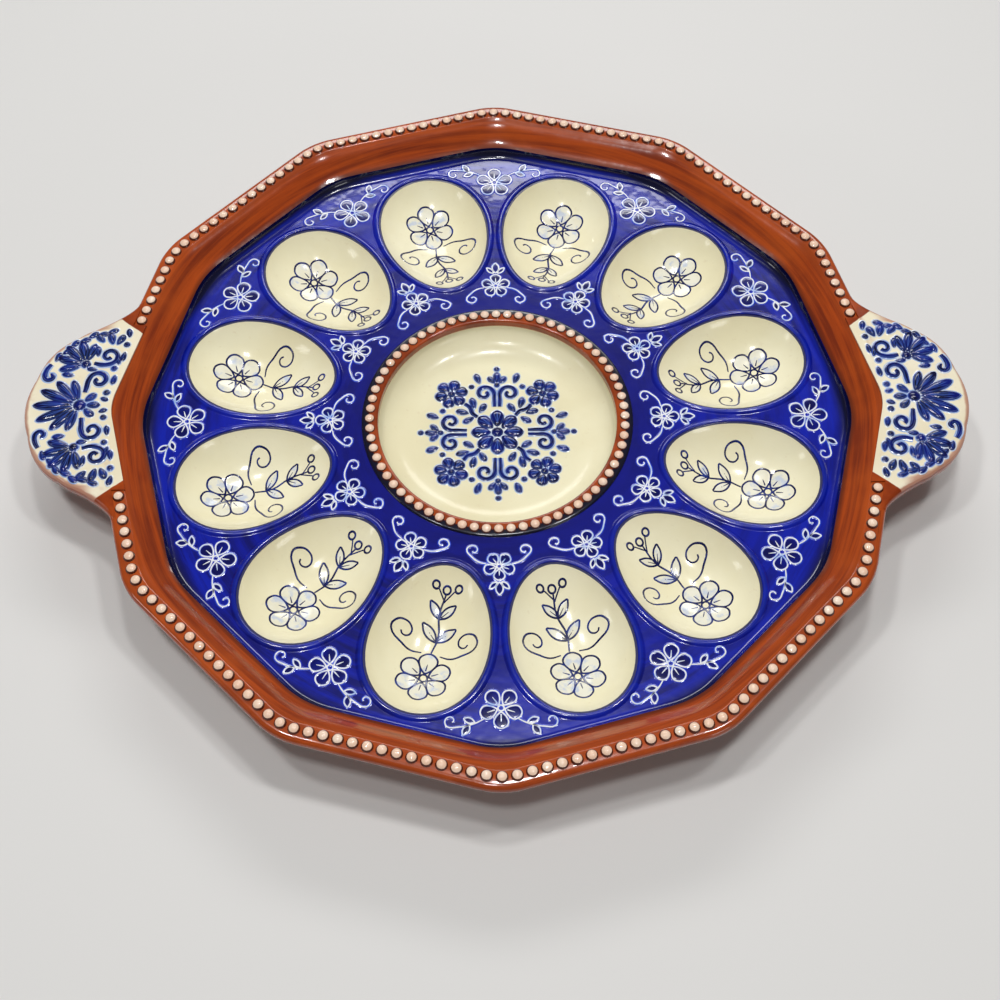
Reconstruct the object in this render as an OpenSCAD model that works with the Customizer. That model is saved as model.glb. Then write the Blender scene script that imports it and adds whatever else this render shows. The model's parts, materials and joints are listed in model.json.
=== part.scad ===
// Deviled egg platter in glazed stoneware: twelve egg wells round a centre dish, inside a beaded rim with two
// ear handles. The origin is on the table, under the middle of the platter. X runs from handle to handle.

/* [Egg wells] */
// Number of egg wells, which is also the number of sides of the platter
wells = 12; // [12:2:16]
// Length of a well's opening, along the ray from the middle of the platter
well_l = 65; // [56:1:74]
// Width of a well's opening
well_w = 47.6; // [42:0.2:54]
// Depth of a well below the floor of the platter
well_depth = 13; // [10:0.5:16]
// How much wider the outer end of a well is than an ellipse, as a share of its width
well_egg_share = 0.1245; // [0:0.0005:0.2]
// Blue web between two neighbouring wells, at their middles
well_gap = 7.2; // [5.6:0.2:14]
// Side wall of a well below the floor
well_wall = 5; // [3.5:0.25:6]
// Width of the flat cream edge round a well's opening
well_edge = 0.8; // [0.4:0.1:1.4]
// Width of the raised blue lip round a well
lip_w = 2.6; // [1.4:0.1:3.2]
// Height of the raised blue lip
lip_h = 0.9; // [0.4:0.1:1.6]

/* [Floor] */
// Thickness of the floor of the platter
floor_t = 5; // [4:0.25:7]
// Blue floor left between the outer end of a well and the cove
floor_margin = 4.6; // [4.2:0.2:16]
// Width of the cove between the floor and the rim
cove_w = 3.5; // [2:0.25:6]
// Height of the cove
cove_h = 4.5; // [3:0.25:6]

/* [Centre dish] */
// Radius of the dish inside its raised ring
dish_r = 51; // [42:1:54]
// Radius of the dish's flat bottom
dish_flat_r = 36; // [34:1:39]
// Depth of the dish below the floor of the platter
dish_depth = 11; // [8:0.5:14]
// Wall of the dish
dish_wall = 4.5; // [3.5:0.25:6]
// Width of the raised ring round the dish
ring_w = 7; // [6.8:0.1:9]
// Height of the raised ring above the floor
ring_rise = 0.9; // [0.5:0.1:2]
// Width of the rounding on each shoulder of the ring
ring_round = 1.1; // [0.6:0.1:1.2]
// Depth of the ring's inner lip below the floor
ring_lip = 2.5; // [1.5:0.25:4]

/* [Rim] */
// Height of the bead tops above the floor of the platter
rim_rise = 14.5; // [13:0.5:22]
// Width of the sloping brown inner wall
slope_w = 10.5; // [8:0.5:16]
// Width of the rounded shoulder between the slope and the ledge
shoulder_w = 0.5; // [0.3:0.1:1.5]
// Drop of the rounded shoulder
shoulder_h = 0.5; // [0.2:0.1:1]
// Width of the ledge that carries the beads
ledge_w = 5; // [5:0.1:6.5]
// Radius of the rolled edge above its widest line
roll_r = 2.5; // [1.5:0.1:3.2]
// Radius of the rolled edge below its widest line
roll_under_r = 4; // [3:0.1:5]
// Thickness of the sloping wall
rim_wall = 5; // [4:0.25:6]
// Corner radius of the platter at the row of beads
corner_r = 28; // [24:1:40]

/* [Beads] */
// Diameter of a rim bead at its foot
bead_d = 4.9; // [4:0.1:4.9]
// Height of a rim bead above the ledge
bead_h = 1.8; // [1:0.1:2.2]
// Spacing of the rim beads, before it is evened out over the row
bead_pitch = 5.7; // [5.4:0.1:8]
// Least gap between the last rim bead and a handle
bead_clear = 0.4; // [0.3:0.1:2]
// Diameter of a centre bead at its foot
ring_bead_d = 4.4; // [3.4:0.1:4.6]
// Height of a centre bead above the ring
ring_bead_h = 1.5; // [0.8:0.1:2]
// Spacing of the centre beads, before it is evened out round the ring
ring_bead_pitch = 5.05; // [4.9:0.05:7]

/* [Handles] */
// How far a handle stands out past the corner of the rolled edge
handle_reach = 27.5; // [25:0.5:28]
// Width of a handle where its curve starts
handle_w = 83.6; // [81:0.2:88]
// How much narrower a handle is on each side where it crosses the bead ledge
handle_inset = 0.5; // [0.5:0.1:4]
// Length of the concave fillet that runs out along the rim
handle_fillet = 13; // [9:0.5:20]
// Depth of the scallops in a handle's outline
scallop_h = 0.8; // [0:0.1:1.2]
// Rounding of a handle's edge
handle_round = 2.4; // [1:0.1:3]
// Depth of a handle's top below the bead tops
handle_drop = 1; // [0.6:0.1:1.6]

/* [Foot] */
// Clearance between the table and the bottoms of the wells
foot_clear = 6; // [5:0.5:12]
// Thickness of the bottom of a well
well_bottom_t = 4.3; // [3.5:0.1:6]
// Thickness of the foot ring where it joins the floor
foot_t = 5.5; // [4:0.25:6]
// How much the foot ring draws in on each face towards the table
foot_draft = 0.9; // [0.2:0.1:1.2]
// Bevel of the foot ring's two lower edges
foot_bevel = 1; // [0.4:0.1:1.2]

/* [Ornament] */
// Height of the sprigged ornament above the glaze
sprig_h = 1.2; // [0.6:0.1:1.6]
// Width of a stem or scroll
stem_w = 1.6; // [1:0.1:1.8]
// Diameter of a berry
berry_d = 2.3; // [1.6:0.1:2.4]

/* [Hidden] */
$fn = 48;
// Angle between two neighbouring sides, and half of it
step = 360 / wells;
half_step = step / 2;
// Steps in the curves of the outlines
arc_steps = 6;
corner_steps = 4;
egg_steps = 48;
bowl_steps = 20;
// Overrun of a cut past the face that it opens
past = 1;
// Hairline between the floor's edge and the foot of the rim
seam = 0.02;
// How far into the roll a handle's fillet is let, as a share of the roll's radius
seat_share = 0.4;

// Heights above the table
floor_z = foot_clear + well_bottom_t + well_depth;
slab_z = floor_z - floor_t;
bead_top_z = floor_z + rim_rise;
ledge_z = bead_top_z - bead_h;
lip_z = ledge_z - roll_r;
rim_under_z = lip_z - roll_under_r;
handle_z = bead_top_z - handle_drop;
ring_z = floor_z + ring_rise;
ring_seat_z = floor_z - ring_lip;
dish_z = floor_z - dish_depth;

// Distances from the middle of the platter, square to a side
well_ring_r = (well_w + well_gap) / 2 / sin(half_step);
floor_a = well_ring_r + well_l / 2 + floor_margin;
root_a = floor_a + cove_w;
crest_a = root_a + slope_w;
ledge_in_a = crest_a + shoulder_w;
bead_a = ledge_in_a + ledge_w / 2;
ledge_out_a = ledge_in_a + ledge_w;
lip_a = ledge_out_a + roll_r;
core_a = bead_a - corner_r;
foot_in_a = root_a - foot_t;
seat_in_a = crest_a + shoulder_w / 2;
seat_out_a = ledge_out_a + roll_r * seat_share;
ring_out_r = dish_r + ring_w;
ring_bead_r = dish_r + ring_w / 2;

// The bowl of a well is turned about an axis that lies this high above the floor
bowl_axis_h = ((well_w / 2) ^ 2 - well_depth ^ 2) / (2 * well_depth);
outer_depth = well_depth + well_bottom_t;
outer_w = well_w / 2 + well_wall;
outer_axis_h = (outer_w ^ 2 - outer_depth ^ 2) / (2 * outer_depth);

// One side of the row of beads, from the middle of a side to the middle of the next
core_side = 2 * core_a * tan(half_step);
corner_arc = corner_r * step * PI / 180;
side_run = core_side + corner_arc;
root_y = handle_w / 2 - handle_inset;
first_bead_y = root_y + bead_d / 2 + bead_clear;
bead_start = (first_bead_y - bead_a * sin(half_step)) / cos(half_step);
row_run = (wells / 2 - 1) * side_run - 2 * bead_start;
rim_beads = round(row_run / bead_pitch) + 1;
ring_beads = round(2 * PI * ring_bead_r / ring_bead_pitch);

// Ear of a handle: an ellipse about the point where its curve starts
ear_x = ledge_out_a / cos(half_step) - ledge_w;
ear_reach = lip_a / cos(half_step) + handle_reach - ear_x;
ear_steps = 40;
scallops = 9;

// How wide the crest of a well's lip is, as a share of the lip
lip_crest_share = 2 / 3;

// Outline of a petal: how much its ends are drawn in and how much wider it is towards its tip
petal_draw_share = 0.35;
petal_full_share = 0.3;
// Rings of a petal's dome, as shares of its width and its height
dome_shares = [[1, 0], [0.88, 0.6], [0.55, 1]];
// Points of a petal's outline, and of one longer than this share of a stem's width
petal_points = 8;
long_petal_points = 10;
long_petal_share = 4;
// Section of a stem from its left foot to its right foot, as shares of its width and its height
stem_shares = [[-0.5, 0], [-0.28, 1], [0.28, 1], [0.5, 0]];
// Height of a stem as a share of the ornament's, and width of its ends as a share of its width
stem_rise_share = 0.65;
stem_end_share = 0.7;
// How far a curl winds in, as a share of its radius
curl_in_share = 0.75;
curl_steps = 6;

// Ornament of the dish, as shares of the radius of its flat bottom. A flower has the distance to where its
// petals start, and the length and width of a petal. Single petals and leaves have x, y, angle, length and
// width. Curls have x, y, radius, start angle and turn, after the two points that lead to them.
dish_rosette_shares = [0.08, 0.233, 0.153];
dish_bloom_share = 0.786;
dish_bloom_shares = [0.05, 0.153, 0.133];
dish_stem_shares = [[0.325, 0.014], [0.403, 0.019], [0.489, -0.019], [0.567, -0.014]];
dish_leaf_shares = [[0.439, 0.053, 30, 0.156, 0.075], [0.353, 0.05, 76, 0.144, 0.072]];
dish_curl_shares = [[0.367, 0.03], [0.472, 0.034], [0.561, 0.15, 0.111, -75, 400]];
dish_tip_shares = [[0.722, 0, 0, 0.15, 0.078]];
dish_side_shares = [[0.712, 0.027, 42, 0.122, 0.067], [0.711, 0.211, 20, 0.15, 0.072]];
dish_berry_shares = [[0.683, 0], [0.922, 0]];
dish_side_berry_shares = [[0.661, 0.311]];

// Ornament of a handle, as shares of the ear's reach, measured from where the ear starts. The petals of a fan
// have length and width.
fan_at_share = 0.337;
fan_start_share = 0.087;
fan_tip_shares = [[0.473, 0.122]];
fan_side_shares = [[0.45, 0.118], [0.376, 0.106], [0.285, 0.091]];
fan_spread = 24;
palm_shares = [[0.148, 0.078]];
palm_spread = 42;
ear_flower_at_shares = [0.331, 0.593];
ear_flower_start_share = 0.064;
ear_flower_shares = [[0.256, 0.094], [0.296, 0.103], [0.313, 0.108], [0.296, 0.103], [0.245, 0.092]];
ear_flower_first = -14;
ear_flower_spread = 30;
ear_leaf_shares = [
    [0.04, 0.895, 75, 0.171, 0.08],
    [-0.017, 0.889, 118, 0.154, 0.074],
    [0.154, 0.929, 50, 0.142, 0.071]];
ear_curl_shares = [
    [[0.297, 0.182], [0.285, 0.268], [0.148, 0.359, 0.125, 0, 410]],
    [[0.234, 0.61], [0.148, 0.587], [0.063, 0.712, 0.123, -90, -410]],
    [[0.753, 0.598], [0.798, 0.519], [0.741, 0.422, 0.068, 0, -270]]];
ear_berry_shares = [[0.034, 0.177], [-0.017, 0.53], [-0.131, 0.883]];
// Eye of a flower, as a share of the distance to where its petals start
eye_share = 0.85;

well_names = [for (i = [1:wells]) str("egg_well_", i < 10 ? "0" : "", i)];

// Colours of the glazes and the bare foot
cobalt = [0.07, 0.13, 0.62];
brown = [0.52, 0.19, 0.07];
cream = [0.93, 0.89, 0.74];
pearl = [0.98, 0.89, 0.78];
ink = [0.05, 0.09, 0.42];
clay = [0.80, 0.70, 0.58];

// Points along an arc, from one angle to another
function arc(cx, cy, rx, ry, from, to, steps) =
    [for (i = [0:steps]) let (t = from + (to - from) * i / steps) [cx + rx * cos(t), cy + ry * sin(t)]];

// Half width of a well at u along its length, for a well of half length a and half width b
function egg_half(u, a, b) = b * (1 + well_egg_share * u / a) * sqrt(max(0, 1 - (u / a) ^ 2));

// Outline of a well's opening, grown outwards
function egg_outline(grow) =
    let (a = well_l / 2 + grow, b = well_w / 2 + grow)
    [for (i = [0:egg_steps - 1])
        let (t = 360 * i / egg_steps)
        [a * cos(t), b * (1 + well_egg_share * cos(t)) * sin(t)]];

// Half section of a bowl, to be turned about its long axis: at floor level it is as wide as the egg outline
function bowl_section(a, b, axis_h) =
    concat([[0, -a]],
        [for (i = [0:bowl_steps])
            let (u = -a * cos(180 * i / bowl_steps))
            [sqrt(egg_half(u, a, b) ^ 2 + axis_h ^ 2), u]],
        [[0, a]]);

// Rounded outline of the platter at this distance out and this height
function outline(out, height) = [for (i = [0:wells - 1], j = [0:corner_steps])
    let (t = i * step - half_step + step * j / corner_steps)
    [core_a / cos(half_step) * cos(i * step) + (out - core_a) * cos(t),
        core_a / cos(half_step) * sin(i * step) + (out - core_a) * sin(t),
        height]];

// Point of a side's line next to the X axis, at y and this far out
function on_side(apothem, y) = [(apothem - abs(y) * sin(half_step)) / cos(half_step), y];

// Place of a bead at a distance s along the row, from the middle of the first side past the X axis
function row_place(s) =
    let (k = floor(s / side_run), r = s - k * side_run, turn = half_step + k * step)
    r < core_side / 2 ? turned([bead_a, r], turn)
    : r < core_side / 2 + corner_arc
        ? let (t = (r - core_side / 2) / corner_r * 180 / PI)
            turned([core_a + corner_r * cos(t), core_side / 2 + corner_r * sin(t)], turn)
    : turned([bead_a, r - side_run], turn + step);

// A point turned about the middle of the platter
function turned(p, t) = [p[0] * cos(t) - p[1] * sin(t), p[0] * sin(t) + p[1] * cos(t)];

// Sets its children at each well, long axis outwards
module at_well(i) {
    rotate([0, 0, half_step + i * step])
        translate([well_ring_r, 0, 0])
            children();
}

// Carries a profile of distances and heights round the platter, as a ring or, when solid, filled in
module swept(profile, solid = false) {
    n = wells * (corner_steps + 1);
    m = len(profile);
    sides = [for (k = [0:m - (solid ? 2 : 1)], i = [0:n - 1])
        let (next = (k + 1) % m, j = (i + 1) % n)
        [k * n + i, next * n + i, next * n + j, k * n + j]];
    caps = solid ? [[for (i = [0:n - 1]) i], [for (i = [n - 1:-1:0]) (m - 1) * n + i]] : [];
    polyhedron([for (p = profile) each outline(p[0], p[1])], concat(sides, caps));
}

// A bead is a cap of a sphere, standing on its flat foot
module bead(d, h) {
    r = ((d / 2) ^ 2 + h ^ 2) / (2 * h);
    base = asin((r - h) / r);
    rotate_extrude($fn = 24)
        polygon(concat([[0, 0]], arc(0, h - r, r, r, base, 90, arc_steps)));
}

// Domed petal or leaf, l long and w wide, along X from its base
module petal(l, w) {
    n = l > stem_w * long_petal_share ? long_petal_points : petal_points;
    last = (len(dome_shares) - 1) * n;
    points = [for (q = dome_shares, i = [0:n - 1])
        let (t = 360 * i / n, draw = abs(sin(t)) ^ petal_draw_share * (1 + petal_full_share * cos(t)))
        [l / 2 * (1 + q[0] * cos(t)), w / 2 * q[0] * sin(t) * draw, sprig_h * q[1]]];
    sides = [for (k = [0:n:last - n], i = [0:n - 1])
        let (j = (i + 1) % n)
        [k + i, k + n + i, k + n + j, k + j]];
    polyhedron(points, concat([[for (i = [0:n - 1]) i]], sides, [[for (i = [n - 1:-1:0]) last + i]]));
}

// Petals set at x, y and an angle, given as shares of a size
module petals(table, size) {
    for (p = table)
        translate(size * [p[0], p[1]])
            rotate(p[2])
                petal(p[3] * size, p[4] * size);
}

// Petals with these shares of a size as length and width, fanned out from one point, start away from it
module fanned(table, size, start, first, spread) {
    for (i = [0:len(table) - 1])
        rotate(first + i * spread)
            translate([start, 0])
                petal(table[i][0] * size, table[i][1] * size);
}

// Round flower with an eye
module flower(count, shares, size) {
    start = shares[0] * size;
    bead(2 * start * eye_share, sprig_h);
    fanned([for (i = [1:count]) [shares[1], shares[2]]], size, start, 0, 360 / count);
}

// Middles set between the points of a line, so that it runs smoothly
function smooth(p) =
    let (n = len(p))
    concat(
        [for (i = [0:n - 2])
            each [p[i], i == 0 || i == n - 2
                ? (p[i] + p[i + 1]) / 2
                : (9 * (p[i] + p[i + 1]) - p[i - 1] - p[i + 2]) / 16]],
        [p[n - 1]]);

// Points of a curl with its two leading points, from a table of shares of a size
function curl(table, size) =
    let (c = table[2], middle = [c[0], c[1]])
    smooth(size * concat(
        [table[0], table[1]],
        [for (i = [0:curl_steps])
            let (t = i / curl_steps, a = c[3] + c[4] * t)
            middle + c[2] * (1 - curl_in_share * t) * [cos(a), sin(a)]]));

// Raised line along a list of points, with sloping sides and narrower ends
module stem(points) {
    n = len(points);
    m = len(stem_shares);
    rise = sprig_h * stem_rise_share;
    rings = [for (i = [0:n - 1])
        let (
            d = points[min(i + 1, n - 1)] - points[max(i - 1, 0)],
            width = stem_w * (i == 0 || i == n - 1 ? stem_end_share : 1),
            side = [d[1], -d[0]] / norm(d) * width
        )
        for (q = stem_shares) [points[i][0] + side[0] * q[0], points[i][1] + side[1] * q[0], rise * q[1]]];
    sides = [for (k = [0:m:(n - 2) * m], i = [0:m - 1])
        let (j = (i + 1) % m)
        each [[k + i, k + m + i, k + m + j], [k + i, k + m + j, k + j]]];
    polyhedron(rings, concat([[for (i = [0:m - 1]) i]], sides, [[for (i = [m - 1:-1:0]) (n - 1) * m + i]]));
}

// Berries at places given as shares of a size
module berries(table, size) {
    for (p = table)
        translate(size * p)
            bead(berry_d, sprig_h * stem_rise_share);
}

// Floor of the platter: a slab with a cove at its edge, a raised lip round each well and holes for the
// wells and the dish
module tray_floor() {
    section = concat([[root_a - seam, slab_z], [root_a - seam, floor_z + cove_h]],
        arc(floor_a - seam, floor_z + cove_h, cove_w, cove_h, 0, -90, arc_steps));
    color(cobalt)
        difference() {
            union() {
                swept(section, solid = true);
                for (i = [0:wells - 1])
                    at_well(i) {
                        translate([0, 0, slab_z])
                            linear_extrude(floor_t + lip_h / 2)
                                polygon(egg_outline(well_edge + lip_w));
                        translate([0, 0, slab_z])
                            linear_extrude(floor_t + lip_h)
                                polygon(egg_outline(well_edge + lip_w * lip_crest_share));
                    }
            }
            for (i = [0:wells - 1])
                at_well(i)
                    translate([0, 0, slab_z - past])
                        linear_extrude(floor_t + lip_h + 2 * past)
                            polygon(egg_outline(well_edge));
            translate([0, 0, slab_z - past])
                cylinder(r = ring_out_r, h = floor_t + 2 * past);
        }
}

// One egg well: a half-egg bowl whose shoulder bears on the floor's underside and whose edge fills the hole
module egg_well(i) {
    color(cream)
        at_well(i)
            difference() {
                union() {
                    difference() {
                        translate([0, 0, floor_z + outer_axis_h])
                            rotate([0, 90, 0])
                                rotate_extrude()
                                    polygon(bowl_section(well_l / 2 + well_wall, outer_w, outer_axis_h));
                        translate([-well_l, -well_w, slab_z])
                            cube([2 * well_l, 2 * well_w, 3 * (outer_axis_h + outer_depth)]);
                    }
                    translate([0, 0, slab_z])
                        linear_extrude(floor_t)
                            polygon(egg_outline(well_edge));
                }
                translate([0, 0, floor_z + bowl_axis_h])
                    rotate([0, 90, 0])
                        rotate_extrude()
                            polygon(bowl_section(well_l / 2, well_w / 2, bowl_axis_h));
            }
}

// Brown rim: a sloping wall with a ledge for the beads and a rolled edge, cut away where the handles grow
module rim() {
    slope = [slope_w, ledge_z - shoulder_h - floor_z - cove_h];
    across = [slope[1], -slope[0]] / norm(slope) * rim_wall;
    wall_root = [root_a, floor_z + cove_h] + across;
    section = concat(
        [[root_a, slab_z], wall_root],
        [wall_root + slope * (rim_under_z - wall_root[1]) / slope[1]],
        arc(lip_a - roll_under_r, lip_z, roll_under_r, roll_under_r, -90, 0, arc_steps),
        arc(lip_a - roll_r, lip_z, roll_r, roll_r, 0, 90, arc_steps),
        [[ledge_in_a, ledge_z]],
        [[crest_a, ledge_z - shoulder_h], [root_a, floor_z + cove_h]]);
    beyond = ear_x + ear_reach;
    color(brown)
        difference() {
            swept(section);
            for (side = [0, 180])
                rotate([0, 0, side])
                    translate([0, 0, rim_under_z - past])
                        linear_extrude(ledge_z - rim_under_z + 2 * past)
                            polygon(concat(seat_line(), [[beyond, -handle_w], [beyond, handle_w]]));
        }
}

// Foot ring under the edge of the floor, drawn in towards the table
module foot_ring() {
    section = [
        [foot_in_a, slab_z],
        [foot_in_a + foot_draft, foot_bevel],
        [foot_in_a + foot_draft + foot_bevel, 0],
        [root_a - foot_draft - foot_bevel, 0],
        [root_a - foot_draft, foot_bevel],
        [root_a, slab_z]];
    color(clay)
        swept(section);
}

// Centre dish: a turned bowl with a flat bottom and a flange that fills the hole in the floor
module centre_dish() {
    inner = concat([[0, dish_z]],
        arc(dish_flat_r, ring_seat_z, dish_r - dish_flat_r, ring_seat_z - dish_z, -90, 0, bowl_steps / 2));
    outer_z = dish_z - dish_wall;
    outer = concat([[ring_out_r, ring_seat_z], [ring_out_r, slab_z]],
        arc(dish_flat_r, slab_z, dish_r + dish_wall - dish_flat_r, slab_z - outer_z, 0, -90, bowl_steps / 2),
        [[0, outer_z]]);
    color(cream)
        rotate_extrude($fn = 96)
            polygon(concat(inner, outer));
}

// Raised brown ring round the dish, with a sloping inner lip and a rounded outer shoulder
module centre_ring() {
    section = concat(
        [[dish_r, ring_seat_z], [ring_out_r, ring_seat_z]],
        arc(ring_out_r - ring_round, floor_z, ring_round, ring_rise, 0, 90, arc_steps),
        arc(dish_r + ring_round, floor_z, ring_round, ring_rise, 90, 180, arc_steps));
    color(brown)
        rotate_extrude($fn = 96)
            polygon(section);
}

// Row of beads round the ring of the centre dish
module centre_beads() {
    color(pearl)
        for (i = [0:ring_beads - 1])
            rotate([0, 0, i * 360 / ring_beads])
                translate([ring_bead_r, 0, ring_z])
                    bead(ring_bead_d, ring_bead_h);
}

// Half of the rim's beads, evenly spaced from one handle to the other
module half_row() {
    color(pearl)
        for (i = [0:rim_beads - 1]) {
            p = row_place(bead_start + row_run * i / (rim_beads - 1));
            translate([p[0], p[1], ledge_z])
                bead(bead_d, bead_h);
        }
}

module rim_beads_back() {
    half_row();
}

module rim_beads_front() {
    rotate([0, 0, 180])
        half_row();
}

// Line where a handle is seated in the rim, from its upper end to its lower end
function seat_line() =
    let (
        end_y = handle_w / 2 + handle_fillet,
        bend = arc(core_a / cos(half_step), 0, seat_in_a - core_a, seat_in_a - core_a, half_step, -half_step,
            arc_steps)
    )
    concat(
        [on_side(lip_a, end_y), on_side(seat_out_a, end_y), on_side(seat_out_a, root_y)],
        [on_side(seat_in_a, root_y)],
        bend,
        [on_side(seat_in_a, -root_y)],
        [on_side(seat_out_a, -root_y), on_side(seat_out_a, -end_y), on_side(lip_a, -end_y)]);

// Outer edge of a handle, from its lower end to its upper end: a fillet, the scalloped ear and a fillet
function ear_line() =
    let (
        start = on_side(lip_a, handle_w / 2 + handle_fillet),
        root = ear_point(-90 + ear_turn()),
        fillet = [for (i = [1:arc_steps - 1])
            let (t = i / arc_steps, q = (1 - t) * [start[0], -start[1]] + t * root)
            q - [ear_sag() * sin(180 * t), 0]]
    )
    concat(
        fillet,
        [for (i = [0:ear_steps]) ear_point((-90 + ear_turn()) * (1 - 2 * i / ear_steps))],
        [for (i = [arc_steps - 2:-1:0]) [fillet[i][0], -fillet[i][1]]]);

// Angle past the widest line of the ear where the fillet takes over, and how far the fillet hollows
function ear_turn() = asin(ledge_w / ear_reach * 2);
function ear_sag() = scallop_h;

// Point of the scalloped ellipse of the ear
function ear_point(t) =
    let (wave = scallop_h * (1 - abs(sin(t * scallops / 2 + 90))))
    [ear_x + (ear_reach - wave) * cos(t), (handle_w / 2 - wave) * sin(t)];

// Handle: a slab with the seat line on one side and a rounded free edge on the other
module handle() {
    seat = seat_line();
    ear = ear_line();
    line = concat(seat, ear);
    n = len(line);
    mid = [ear_x + ledge_w, 0];
    inwards = [for (i = [0:n - 1])
        i < len(seat)
            ? [0, 0]
            : let (d = line[(i + 1) % n] - line[i - 1])
                [-d[1], d[0]] / norm(d)];
    turns = concat([for (i = [0:arc_steps / 2]) [180 * i / arc_steps - 90, rim_under_z + handle_round]],
        [for (i = [0:arc_steps / 2]) [180 * i / arc_steps, handle_z - handle_round]]);
    rings = [for (q = turns)
        [for (i = [0:n - 1])
            let (p = line[i] + inwards[i] * handle_round * (1 - cos(q[0])))
            [p[0], p[1], q[1] + handle_round * sin(q[0])]]];
    m = len(turns);
    points = concat([for (r = rings) each r],
        [[mid[0], mid[1], rim_under_z], [mid[0], mid[1], handle_z]]);
    faces = concat(
        [for (k = [0:m - 2], i = [0:n - 1])
            let (j = (i + 1) % n)
            [k * n + i, k * n + j, (k + 1) * n + j, (k + 1) * n + i]],
        [for (i = [0:n - 1]) [(i + 1) % n, i, m * n]],
        [for (i = [0:n - 1]) [(m - 1) * n + i, (m - 1) * n + (i + 1) % n, m * n + 1]]);
    color(cream)
        polyhedron(points, faces);
}

module handle_right() {
    handle();
}

module handle_left() {
    rotate([0, 0, 180])
        handle();
}

// Sprigged ornament on a handle: a fan of petals at the tip, with flowers, curls, leaves and berries by it
module handle_relief() {
    size = ear_reach;
    start = size * fan_start_share;
    color(ink)
        translate([ear_x, 0, handle_z]) {
            translate([size * fan_at_share, 0]) {
                bead(2 * start * eye_share, sprig_h);
                fanned(fan_tip_shares, size, start, 0, 0);
                fanned(palm_shares, size, start, 180, 0);
            }
            for (side = [0, 1])
                mirror([0, side, 0]) {
                    translate([size * fan_at_share, 0]) {
                        fanned(fan_side_shares, size, start, fan_spread, fan_spread);
                        fanned(palm_shares, size, start, 180 - palm_spread, 0);
                    }
                    translate(size * ear_flower_at_shares) {
                        bead(2 * size * ear_flower_start_share * eye_share, sprig_h);
                        fanned(ear_flower_shares, size, size * ear_flower_start_share, ear_flower_first,
                            ear_flower_spread);
                    }
                    petals(ear_leaf_shares, size);
                    for (table = ear_curl_shares)
                        stem(curl(table, size));
                    berries(ear_berry_shares, size);
                }
        }
}

module handle_relief_right() {
    handle_relief();
}

module handle_relief_left() {
    rotate([0, 0, 180])
        handle_relief();
}

// Sprigged ornament in the dish: a rosette, four blooms on leafy stems, and curls with buds between them
module centre_relief() {
    size = dish_flat_r;
    quarter = 90;
    color(ink)
        translate([0, 0, dish_z]) {
            flower(8, dish_rosette_shares, size);
            for (i = [0:3])
                rotate(i * quarter) {
                    petals(dish_tip_shares, size);
                    berries(dish_berry_shares, size);
                    rotate(quarter / 2) {
                        translate([size * dish_bloom_share, 0])
                            flower(6, dish_bloom_shares, size);
                        stem(smooth(size * dish_stem_shares));
                    }
                    for (side = [0, 1])
                        mirror([0, side, 0]) {
                            petals(dish_side_shares, size);
                            berries(dish_side_berry_shares, size);
                            stem(curl(dish_curl_shares, size));
                            rotate(quarter / 2)
                                petals(dish_leaf_shares, size);
                        }
                }
        }
}

tray_floor();
rim();
foot_ring();
for (i = [0:wells - 1])
    egg_well(i);
centre_dish();
centre_ring();
centre_beads();
centre_relief();
rim_beads_back();
rim_beads_front();
handle_left();
handle_right();
handle_relief_left();
handle_relief_right();
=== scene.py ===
import json
from math import atan2, cos, degrees, hypot, pi, radians, sin, sqrt, tan

import bmesh
import bpy
from mathutils import Matrix, Vector

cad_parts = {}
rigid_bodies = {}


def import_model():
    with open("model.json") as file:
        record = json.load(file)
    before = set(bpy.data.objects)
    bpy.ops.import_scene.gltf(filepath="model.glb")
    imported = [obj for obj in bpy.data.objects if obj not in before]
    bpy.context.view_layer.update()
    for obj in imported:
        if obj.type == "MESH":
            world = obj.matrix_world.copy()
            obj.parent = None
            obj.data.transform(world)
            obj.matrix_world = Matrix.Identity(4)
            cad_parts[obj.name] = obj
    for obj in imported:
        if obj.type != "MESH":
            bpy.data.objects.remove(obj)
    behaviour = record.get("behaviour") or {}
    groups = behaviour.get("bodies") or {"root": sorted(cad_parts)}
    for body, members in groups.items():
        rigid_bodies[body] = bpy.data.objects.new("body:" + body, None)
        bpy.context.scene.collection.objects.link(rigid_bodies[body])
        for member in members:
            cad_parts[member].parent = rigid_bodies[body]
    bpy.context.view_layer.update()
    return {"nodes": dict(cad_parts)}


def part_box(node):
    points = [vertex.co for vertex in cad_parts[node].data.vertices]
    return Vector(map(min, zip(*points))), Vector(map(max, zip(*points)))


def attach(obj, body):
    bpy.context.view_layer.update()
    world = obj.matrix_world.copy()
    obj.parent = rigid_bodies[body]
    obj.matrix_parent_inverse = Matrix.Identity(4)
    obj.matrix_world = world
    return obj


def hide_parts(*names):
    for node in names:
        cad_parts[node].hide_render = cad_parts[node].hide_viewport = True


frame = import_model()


# The floor of the tray carries the egg wells. It is stoneware, cast in one piece with the rim. Its cobalt
# glaze is brushed on round the tray, so it lies in long streaks, pools almost black in the cove and thins to
# a paler blue on the raised lip round each well.
MM = 0.001
sides = 12
side_turn = 2 * pi / sides
corner_round = 33 * MM      # corner radius at the widest line of the rolled edge
root_round = 40 * MM        # corner radius at the top of the cove
corner_steps = 8
arc_profile = 0.556         # bevel profile that comes nearest to an arc at such blunt corners
rim_w = 18.5 * MM           # from the widest line in to the top of the cove
cove_w = 3.5 * MM
cove_h = 4.5 * MM
cove_steps = 9
floor_edge_w = 0.6 * MM     # plain strip of floor inside the cove
well_l = 65 * MM
well_w = 47.6 * MM
well_gap = 7.2 * MM         # blue web between two wells
well_edge = 0.8 * MM        # flat cream edge round the bowl
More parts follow.
